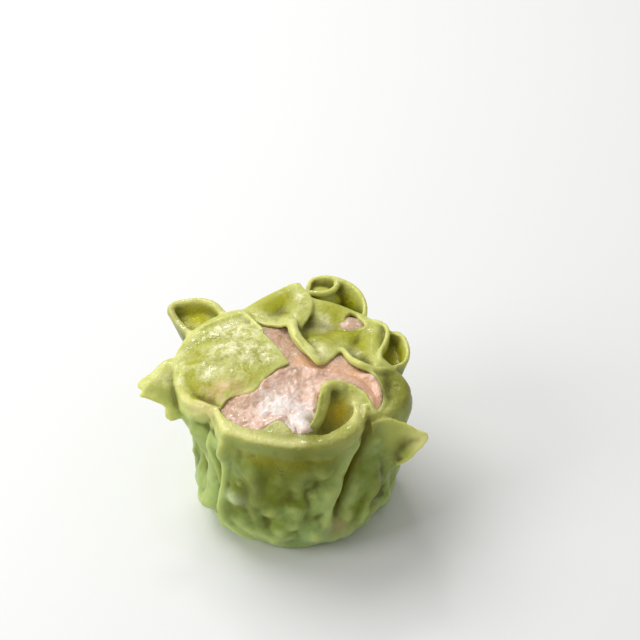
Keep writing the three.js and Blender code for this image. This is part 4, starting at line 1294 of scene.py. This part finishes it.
# painted light: the left lobe, the lip of the great crease, the front pleat and the left foot
lobe = bell(turn(angles - 211) / 15) * smooth(26, 23, skin_z)
left_foot = 1.2 * bell(turn(angles - 241) / 13) * smooth(8.5, 5, skin_z)
lit = lobe * 0.8 + 0.9 * beside(CREASE_LIP, 60, 6.0, 2.4) + beside(FRONT_PLEAT, 40, 4, 1.5)
paint(wrapper, "lit", lit + 0.8 * left_foot)
faces_away = smooth(0, 0.5, (skin_points[:, :2] * outwards[:, :2]).sum(1))
under_lip = bell((skin_z - crest_height + 3.4) / 1.5) * faces_away
paint(wrapper, "ochre", under_lip * bell(turn(angles - 262) / 34))
print("the lit part of the side:", round(100 * (lit > 0.5).mean(), 1), "% of the points")

# %% [markdown]
# Last come the small places: painted highlights on the brightest edges and ridges, painted glints on the
# side, a milky drop, one beige stain, and the meat that shines through where the left flap is thinnest.

# %% Painted highlights, glints, drop and stain
GLINTS = [  # angle, height and size
    (264, 21.5, 0.8),
    (279, 14.7, 0.9),
    (239.5, 16.6, 0.5),
    (262, 6.6, 0.7),
    (249, 4.6, 0.8),
]
SKIN_RADIUS = 18.8  # of the side's outer face
DROP = (237.3, 19.4, 13.1)  # angle, radius and height
STAIN = (294, 18.2, 6.6)
THIN_FLAP = (-13.0, -6.4)  # x, y
# painted glints: small spots on the side where the material lays GLEAM specks
glisten = np.zeros(len(skin_points))
for angle, height, size in GLINTS:
    glisten = np.maximum(glisten, spot(skin_points, polar(angle, SKIN_RADIUS, height), size))
paint(wrapper, "glisten", glisten)
front_lip = polar(np.linspace(231, 272, 30), 18.2, 27.3)
HIGHLIGHT_LINES = [  # line, how strong the painted highlight is, half width, and whether only what faces up
    (rim_lines[0], 0.55, 0.7, False),
    (front_lip, 0.75, 1.5, True),
    (left_lip, 0.7, 0.8, False),
    (roll_lines[0], 0.4, 1.4, True),
    (roll_lines[6], 0.7, 0.9, True),
]
HIGHLIGHT_SHARE = 0.95
HIGHLIGHT_SPOTS = [  # place and size
    ((4.1, 3.2, 28.8), 2.3),
    ((5.0, 11.8, 29.0), 1.6),
    ((-2.0, -14.0, 27.3), 2.0),
    ((22.6, -12.4, 22.2), 2.8),
]
# painted highlights on edges, ridges, the panel and the long corner, laid over their pale dough
painted_highlight = np.zeros(len(skin_points))
for line, share, width, only_up in HIGHLIGHT_LINES:
    along = share * bell(near(skin_points, line, 4) / width)
    painted_highlight = np.maximum(painted_highlight, along * faces_up if only_up else along)
for place, size in HIGHLIGHT_SPOTS:
    painted_highlight = np.maximum(painted_highlight, HIGHLIGHT_SHARE * spot(skin_points, place, size))
paint(wrapper, "painted_highlight", painted_highlight)
flap = bell(np.hypot((skin_x - THIN_FLAP[0]) / 4.2, (skin_y - THIN_FLAP[1]) / 2.8)) * (skin_z > 25)
paint(wrapper, "meat_below", flap * (1 - in_valley))
paint(wrapper, "drop", spot(skin_points, polar(*DROP), 1.5, (1.3, 1.3, 0.85)) ** 1.5)
paint(wrapper, "beige", spot(skin_points, polar(*STAIN), 1.9, (1.2, 1.2, 1)))
print("painted", [layer.name for layer in wrapper.data.attributes if layer.data_type == "FLOAT"])

# %% [markdown]
# ## The filling
# Minced pork fills the cup and shows between the flaps. It could be a pile of small pieces, but cooked
# mince is one mass with a lumpy, glistening top. So it is a stack of rings like the loops, closest
# together where it shows. Squashed spheres fill it out in the gap and at both ends of its opening and add
# a blob of white fat that hangs over the front rim, and one skin is closed over them all.

# %% Core of the filling
MEAT_RADIUS = 17.8
MEAT_BOTTOM = 3.1  # height of the lowest ring of the side
MEAT_SHOULDER = 23.0  # and of the highest
MEAT_ROUNDING = 2.3  # how far the top turns down there
MEAT_SQUARE = 26  # how sharply the top turns down at the wall
MEAT_AROUND = 420
MEAT_SIDE_RINGS = 14
MEAT_TOP_RINGS = 190
MEAT_PASSES = 14
MEAT_TRIANGLES = 150000
MEAT_SHOWS_FROM = 23.5  # mm
CLODS = [  # place, half sizes and turn of the lumps in the gap, at the left end and at the far end
    ((10.75, 12.0, 27.25), (2.35, 3.0, 1.6), 51),
    ((-10.4, -8.4, 25.9), (3.2, 3.0, 1.4), 30),
    ((-7.0, 12.0, 27.0), (2.6, 2.4, 1.5), 0),
]


def filling_rings():
    """Rings up the filling's side, then inwards over its top."""
    rim = rim_at(np.linspace(0, 1, MEAT_AROUND, endpoint=False))
    inset = DOUGH / 2 + CLEARANCE + 0.2
    rings = [polar(leaned(rim[0], np.zeros(MEAT_AROUND)), BASE_RADIUS - 0.7, DOUGH + CLEARANCE)]
    for height in np.linspace(MEAT_BOTTOM, MEAT_SHOULDER, MEAT_SIDE_RINGS):
        degrees, radius = side_point(rim, np.full(MEAT_AROUND, height))
        narrow = np.minimum(MEAT_RADIUS, radius - inset - 0.25 - (1 - smooth(19, 23, height)))
        rings.append(polar(degrees, narrow, height))
    shoulder = rings[-1]
    for step in range(1, MEAT_TOP_RINGS + 1):
        share = 1 - (step / (MEAT_TOP_RINGS + 1)) ** 1.1
        flat = shoulder[:, :2] * share
        top = meat_top(*flat.T) - MEAT_ROUNDING * share**MEAT_SQUARE
        rings.append(np.column_stack([flat, top]))
    return rings


filling = shaped_rings("filling_pork", MEAT_AROUND, filling_rings())
fat_blob = blob("fat", (0.6, -11.2, 26.3), (1.9, 2.8, 1.2), 12)
fat_drip = blob("drip", (1.7, -14.0, 26.7), (0.9, 2.0, 0.75), 14)
clods = [blob("clod", *clod) for clod in CLODS]
fuse(filling, [fat_blob, fat_drip, *clods], MEAT_PASSES)
thin_out(filling, points_of(filling)[:, 2] < MEAT_SHOWS_FROM, MEAT_TRIANGLES)
print("filling:", len(filling.data.polygons), "faces")

# %% [markdown]
# Crumbs of several sizes are real relief, calmer on the fat and on the smooth band where the paste was
# pressed flat. Where the flaps' free edges are lifted, the meat is raised with them, so that no dark slit
# is left open, and everywhere else that the flaps cover it is kept below the dough.

# %% Crumbs, band and fat
MEAT_RISE = 0.65  # of the shown top above the core, up to the flaps
VALLEY_DEPTH = 1.6  # mm, under the fold behind the left lip
UNDER_DOUGH = 0.1  # mm below the middle of the dough, at least, where the flaps cover the meat
BAND = [(1.1, 1.3, 28), (4.6, 0.1, 28), (9.9, -1.6, 28), (13.3, -4.9, 27), (14.8, -8.6, 27)]
FAT_PLACES = [  # x, y and size
    (0.9, -12.0, 1.9),
    (2.0, -14.2, 1.5),
    (-2.6, -8.6, 2.6),
    (0.2, -9.6, 1.8),
    (-4.6, -10.2, 1.3),
]
OPEN_PLACES = [  # x, y and reach of the gap and of where the fat hangs over the lip
    (10.9, 12.2, 2.8),
    (1.3, -13.4, 2.5),
]
meat_points = points_of(filling)
meat_x, meat_y, meat_z = meat_points.T  # these follow what is done to the points
outwards = normals_of(filling)
shown = smooth(22, 25, meat_z)
band = bell(near_from_above(meat_points, curve_points(BAND, 80), 6) / 1.7)
fat = np.zeros(len(meat_points))
for x, y, size in FAT_PLACES:
    fat = np.maximum(fat, bell(np.hypot(meat_x - x, meat_y - y) / size))
not_fat = 1 - smooth(0.1, 0.6, fat)
strands = grain(meat_points, 1.1, 54) + 0.6 * grain(meat_points * (1, 2.5, 1), 0.9, 55)
fat = np.clip(fat + 0.5 * strands * (fat > 0.05), 0, 1)
lumps = 0.26 * grain(meat_points, 1.9, 51)
lumps = lumps + 0.17 * np.abs(grain(meat_points, 1.0, 52))
lumps = lumps + 0.11 * grain(meat_points, 0.55, 53)
calm = 1 - 0.7 * np.maximum(band, fat * 0.8)
meat_z -= VALLEY_DEPTH * bell(near_from_above(meat_points, valley, 5) / 2.4) * shown
meat_points += outwards * ((lumps * calm + 0.12 * band + 0.18 * fat + MEAT_RISE) * shown)[:, None]
lifted = rim_for(angle_of(meat_x, meat_y))[5] + 0.2
to_free_edge = near_from_above(meat_points, free_edge, 5)
meat_z += lifted * bell(to_free_edge / 1.9) * smooth(0, -3, meat_y) * shown * not_fat
covered = ~within(meat_points, free_edge[::4, :2]) & (meat_z > TOP_FROM)
for x, y, reach in OPEN_PLACES:
    covered &= np.hypot(meat_x - x, meat_y - y) > reach
meat_z[covered] = np.minimum(meat_z, lying(meat_x, meat_y) - UNDER_DOUGH)[covered]
put_points(filling, meat_points)
print("the meat shows between", meat_z[shown > 0.5].min().round(1), "and", meat_z.max().round(1), "mm")

# %% [markdown]
# The band, the fat, redder places, one peppercorn's speck and the gaps between the crumbs, which get painted
# shade, are kept for the colours.

# %% Paint on the filling
RED_PLACES = [  # x, y, size and share
    (-9.5, -8, 3.6, 1.0),
    (10.4, 12.4, 4, 1.0),
    (-4, 8, 5, 0.6),
]
PEPPER_SPECK = (0.1, -0.9)  # x, y
CRUMB_PASSES = 30
red = np.zeros(len(meat_points))
for x, y, size, share in RED_PLACES:
    red = np.maximum(red, share * bell(np.hypot(meat_x - x, meat_y - y) / size))
paint(filling, "band", band)
paint(filling, "fat", fat)
paint(filling, "red", red)
speck = bell(np.hypot((meat_x - PEPPER_SPECK[0]) / 0.5, (meat_y - PEPPER_SPECK[1]) / 0.26))
paint(filling, "speck", speck * shown)
# painted shade: the gaps between the crumbs are kept to darken them
between_crumbs = -bulge(filling, meat_points, normals_of(filling), CRUMB_PASSES)
paint(filling, "deep", smooth(0.03, 0.3, between_crumbs))
alone(filling)
bpy.ops.object.shade_smooth()
print("painted", [layer.name for layer in filling.data.attributes if layer.data_type == "FLOAT"])

# %% [markdown]
# ## Writing materials as sums
# Node trees are easier to read as arithmetic. Wire wraps a socket, so 1 - mask or pits * 0.4 adds its Math
# node, and Finish makes every other node with one method and feeds the shader.

# %% Wire and Finish
class Wire:
    """A socket that can be used in sums."""

    def __init__(self, tree, socket):
        self.tree = tree
        self.socket = socket

    def _math(self, operation, first, second):
        node = self.tree.nodes.new("ShaderNodeMath")
        node.operation = operation
        for slot, value in zip(node.inputs, (first, second)):
            if isinstance(value, Wire):
                self.tree.links.new(value.socket, slot)
            else:
                slot.default_value = value
        return Wire(self.tree, node.outputs[0])

    def __add__(self, other):
        return self._math("ADD", self, other)

    def __radd__(self, other):
        return self._math("ADD", other, self)

    def __sub__(self, other):
        return self._math("SUBTRACT", self, other)

    def __rsub__(self, other):
        return self._math("SUBTRACT", other, self)

    def __mul__(self, other):
        return self._math("MULTIPLY", self, other)

    def __rmul__(self, other):
        return self._math("MULTIPLY", other, self)


class Finish:
    """A material with a shader whose sockets are set or wired by name."""

    def __init__(self, name, **constants):
        self.material = bpy.data.materials.new(name)
        self.material.use_nodes = True
        self.tree = self.material.node_tree
        self.shader = self.tree.nodes["Principled BSDF"]
        for socket, value in constants.items():
            self.shader.inputs[socket.replace("_", " ")].default_value = value
        self.place = self.add("ShaderNodeTexCoord", {}, {}, "Object")

    def add(self, kind, settings, inputs, output):
        """A node with its settings and the values or wires of its sockets."""
        node = self.tree.nodes.new(kind)
        for key, value in settings.items():
            setattr(node, key, value)
        for key, value in inputs.items():
            if isinstance(value, Wire):
                self.tree.links.new(value.socket, node.inputs[key])
            else:
                node.inputs[key].default_value = value
        return Wire(self.tree, node.outputs[output])

    def noise(self, size, detail=2.0, rough=0.5):
        """Noise from 0 to 1 that turns over a size in mm."""
        inputs = {"Vector": self.place, "Scale": 1 / (size * MM), "Detail": detail, "Roughness": rough}
        return self.add("ShaderNodeTexNoise", {}, inputs, "Fac")

    def attribute(self, name):
        """The number that was painted under a name."""
        return self.add("ShaderNodeAttribute", {"attribute_name": name}, {}, "Fac")

    def step(self, value, low, high):
        """0 below low and 1 above high, smoothly between."""
        inputs = {"Value": value, "From Min": low, "From Max": high}
        return self.add("ShaderNodeMapRange", {"interpolation_type": "SMOOTHSTEP"}, inputs, "Result")

    def blend(self, share, first, second):
        """A colour between two colours."""
        return self.add("ShaderNodeMix", {"data_type": "RGBA"}, {0: share, 6: first, 7: second}, 2)

    def layers(self, colour, table):
        """Colours laid over a colour, one after the other, where painted attributes say."""
        for name, share, over in table:
            colour = self.blend(self.attribute(name) * share, colour, over)
        return colour

    def bump(self, height, distance, strength, below=None):
        """Fine relief of a distance in mm, on top of another where one is given."""
        inputs = {"Height": height, "Distance": distance * MM, "Strength": strength}
        if below is not None:
            inputs["Normal"] = below
        return self.add("ShaderNodeBump", {}, inputs, "Normal")

    def feed(self, **sockets):
        """Lead wires into the shader's sockets."""
        for name, wire in sockets.items():
            self.tree.links.new(wire.socket, self.shader.inputs[name.replace("_", " ")])


print("material tools are ready")

# %% [markdown]
# ## Dough
# The dough is a waxy, slightly see-through green: bluer on the side, yellow-green on the flaps, pale where it
# is thin, and painted mustard in its pockets, where light comes through it. Painted shade darkens its folds
# and creases, and painted sheen, glints and highlights lie on it. It could be one picture wrapped round the
# piece, but sums of noise and painted attributes stay sharp from near. Steam leaves a wet film, so a clear
# coat lies over a fine bump of blisters.

# %% Dough material
SIDE_GREEN = (0.19, 0.25, 0.014, 1)
COOL_GREEN = (0.32, 0.44, 0.14, 1)
OLIVE = (0.135, 0.145, 0.002, 1)
TOP_GREEN = (0.31, 0.315, 0.003, 1)
PALE_GREEN = (0.62, 0.64, 0.20, 1)
POCKET_GREEN = (0.60, 0.57, 0.0008, 1)
LIT_GREEN = (0.47, 0.59, 0.19, 1)
EAR_GREEN = (0.54, 0.57, 0.13, 1)
MUSTARD = (0.62, 0.44, 0.0008, 1)
DARK_OLIVE = (0.10, 0.09, 0.0008, 1)
MEAT_THROUGH = (0.72, 0.47, 0.27, 1)
WHITISH = (0.72, 0.80, 0.56, 1)
GLEAM = (0.88, 0.86, 0.55, 1)
HIGHLIGHT_CREAM = (0.84, 0.80, 0.36, 1)
CREASE_SHADE_OLIVE = (0.17, 0.14, 0.0006, 1)
BEIGE = (0.42, 0.33, 0.16, 1)
TAUT_GREEN = (0.34, 0.345, 0.001, 1)
OCHRE = (0.46, 0.37, 0.006, 1)

dough = Finish(
    "wet_green_dough",
    Subsurface_Weight=0.4,
    Subsurface_Radius=(1.0, 0.85, 0.15),
    Subsurface_Scale=0.002,
    Specular_IOR_Level=0.1,
    Coat_Roughness=0.12,
    Coat_IOR=1.4,
)
broad = dough.noise(6.5, 3.0)
mottle = dough.noise(2.4, 4.0, 0.6)
freckle = dough.noise(0.55, 3.0, 0.6)
side = dough.blend(dough.step(broad, 0.35, 0.68), SIDE_GREEN, COOL_GREEN)
side = dough.blend(dough.step(mottle, 0.48, 0.72) * 0.6, side, OLIVE)
# painted light: large bulges of the side are lighter; the side is also paler and cooler towards the foot
side = dough.blend(dough.attribute("swollen") * 0.4 + dough.attribute("low") * 0.6, side, COOL_GREEN)
top = dough.blend(dough.step(mottle, 0.4, 0.7) * 0.45, TOP_GREEN, PALE_GREEN)
top = dough.blend(dough.step(freckle, 0.45, 0.62) * 0.3, top, PALE_GREEN)
top = dough.blend(dough.attribute("taut") * 0.85, top, TAUT_GREEN)
# painted sheen: speckled patches of GLEAM on the flaps
speck = dough.step(dough.noise(1.5, 5.0, 0.75), 0.42, 0.6)
top = dough.blend(dough.attribute("sheen") * (0.15 + speck * 0.8), top, GLEAM)
body = dough.blend(dough.attribute("top"), side, top)
# among these layers are painted light and painted shade on the side, the painted mustard glow of the pockets
# and the spoon, and painted highlights
body = dough.layers(body, [  # attribute, share and colour
    ("ochre", 0.6, OCHRE),
    ("pale", 0.85, PALE_GREEN),
    ("painted_shade", 0.65, OLIVE),
    ("lit", 0.75, LIT_GREEN),
    ("ear", 0.75, EAR_GREEN),
    ("pocket", 0.85, POCKET_GREEN),
    ("spoon", 0.85, MUSTARD),
    ("painted_highlight", 0.75, HIGHLIGHT_CREAM),
])
# painted shade in the folds and hollows, weaker in the spoon
shade = dough.attribute("deep") * (0.75 - dough.attribute("spoon") * 0.6)
body = dough.blend(shade, body, DARK_OLIVE)
# painted shade in the great crease, then the beige stain
body = dough.layers(body, [("crease", 0.7, CREASE_SHADE_OLIVE), ("beige", 0.8, BEIGE)])
through = dough.attribute("meat_below") * dough.step(dough.noise(1.3, 3.0), 0.32, 0.54)
body = dough.blend(through * 0.85, body, MEAT_THROUGH)
body = dough.blend(dough.attribute("drop") * 0.6, body, WHITISH)
# painted glints on the side
glints = dough.attribute("glisten") * dough.step(dough.noise(0.3, 2.0, 0.6), 0.5, 0.62)
body = dough.blend(glints * 0.22, body, GLEAM)
body = dough.blend(dough.step(freckle, 0.66, 0.78) * 0.35, body, DARK_OLIVE)
blister = dough.noise(0.5, 3.0, 0.6)
pore = dough.noise(0.22, 2.0, 0.5)
skin = dough.bump(blister * (0.45 + dough.attribute("top") * 0.4), 0.3, 0.8)
skin = dough.bump(pore, 0.08, 0.5, skin)
wet = dough.attribute("top") * (0.3 - dough.attribute("taut") * 0.4)
dough.feed(
    Base_Color=body,
    Roughness=0.45 - dough.step(broad, 0.4, 0.7) * 0.1 + dough.step(pore, 0.5, 0.8) * 0.12,
    Coat_Weight=0.3 + wet - dough.attribute("pocket") * 0.4,
    Normal=skin,
)
wrapper.data.materials.append(dough.material)
print("dough:", len(dough.tree.nodes), "nodes")

# %% [markdown]
# ## Pork
# Cooked mince is pale pink, with painted shade between its crumbs, white fat and one smooth orange band where
# the
# paste was pressed flat. It glistens: low roughness, a coat, and bumps of half a millimetre and less.

# %% Pork material
PINK = (0.64, 0.40, 0.29, 1)
PALE_PINK = (0.70, 0.51, 0.39, 1)
DEEP_PINK = (0.50, 0.25, 0.18, 1)
ORANGE_PINK = (0.74, 0.40, 0.22, 1)
TAN_PINK = (0.50, 0.31, 0.18, 1)
FAT_WHITE = (0.84, 0.77, 0.72, 1)
PEPPER = (0.06, 0.03, 0.02, 1)

pork = Finish(
    "moist_minced_pork",
    Subsurface_Weight=0.4,
    Subsurface_Radius=(1.0, 0.4, 0.25),
    Subsurface_Scale=0.0018,
    IOR=1.4,
    Coat_Roughness=0.1,
)
crumbs = pork.noise(1.3, 4.0, 0.6)
grains = pork.noise(0.5, 3.0, 0.6)
flesh = pork.blend(pork.step(crumbs, 0.38, 0.62), PINK, PALE_PINK)
flesh = pork.blend(pork.step(grains, 0.52, 0.7) * 0.5, flesh, DEEP_PINK)
# the first layer darkens the gaps between the crumbs: painted shade
flesh = pork.layers(flesh, [  # attribute, share and colour
    ("deep", 0.6, DEEP_PINK),
    ("red", 0.6, TAN_PINK),
    ("band", 0.75, ORANGE_PINK),
    ("fat", 0.9, FAT_WHITE),
])
flesh = pork.blend(pork.step(pork.noise(0.9, 2.0), 0.64, 0.72) * 0.6, flesh, FAT_WHITE)
flesh = pork.blend(pork.attribute("speck"), flesh, PEPPER)
rough = pork.bump(crumbs, 0.5, 0.6)
rough = pork.bump(grains, 0.25, 0.7, rough)
pork.feed(
    Base_Color=flesh,
    Roughness=0.42 - pork.step(grains, 0.45, 0.7) * 0.14,
    Coat_Weight=0.5 + pork.attribute("band") * 0.2,
    Normal=rough,
)
filling.data.materials.append(pork.material)
print("pork:", len(pork.tree.nodes), "nodes")

# %% [markdown]
# ## Floor
# The dumpling stands on a plain white table. A dull white would do, and a wide, faint noise keeps it from
# looking like paper.

# %% Floor material
TABLE_WHITE = (0.80, 0.80, 0.80, 1)
TABLE_GREY = (0.76, 0.77, 0.78, 1)
table = Finish("white_table", Roughness=0.6, Specular_IOR_Level=0.2)
table.feed(Base_Color=table.blend(table.noise(90, 2.0) * 0.3, TABLE_WHITE, TABLE_GREY))
floor.data.materials.append(table.material)

# %% [markdown]
# ## Bodies
# Both pieces belong to the one body of the dumpling and stand for the plain solids of the same names.

# %% Ride and replace
for piece, node, slot in ((wrapper, "wrapper", "dough"), (filling, "filling", "meat")):
    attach(piece, "root")
    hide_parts(node)
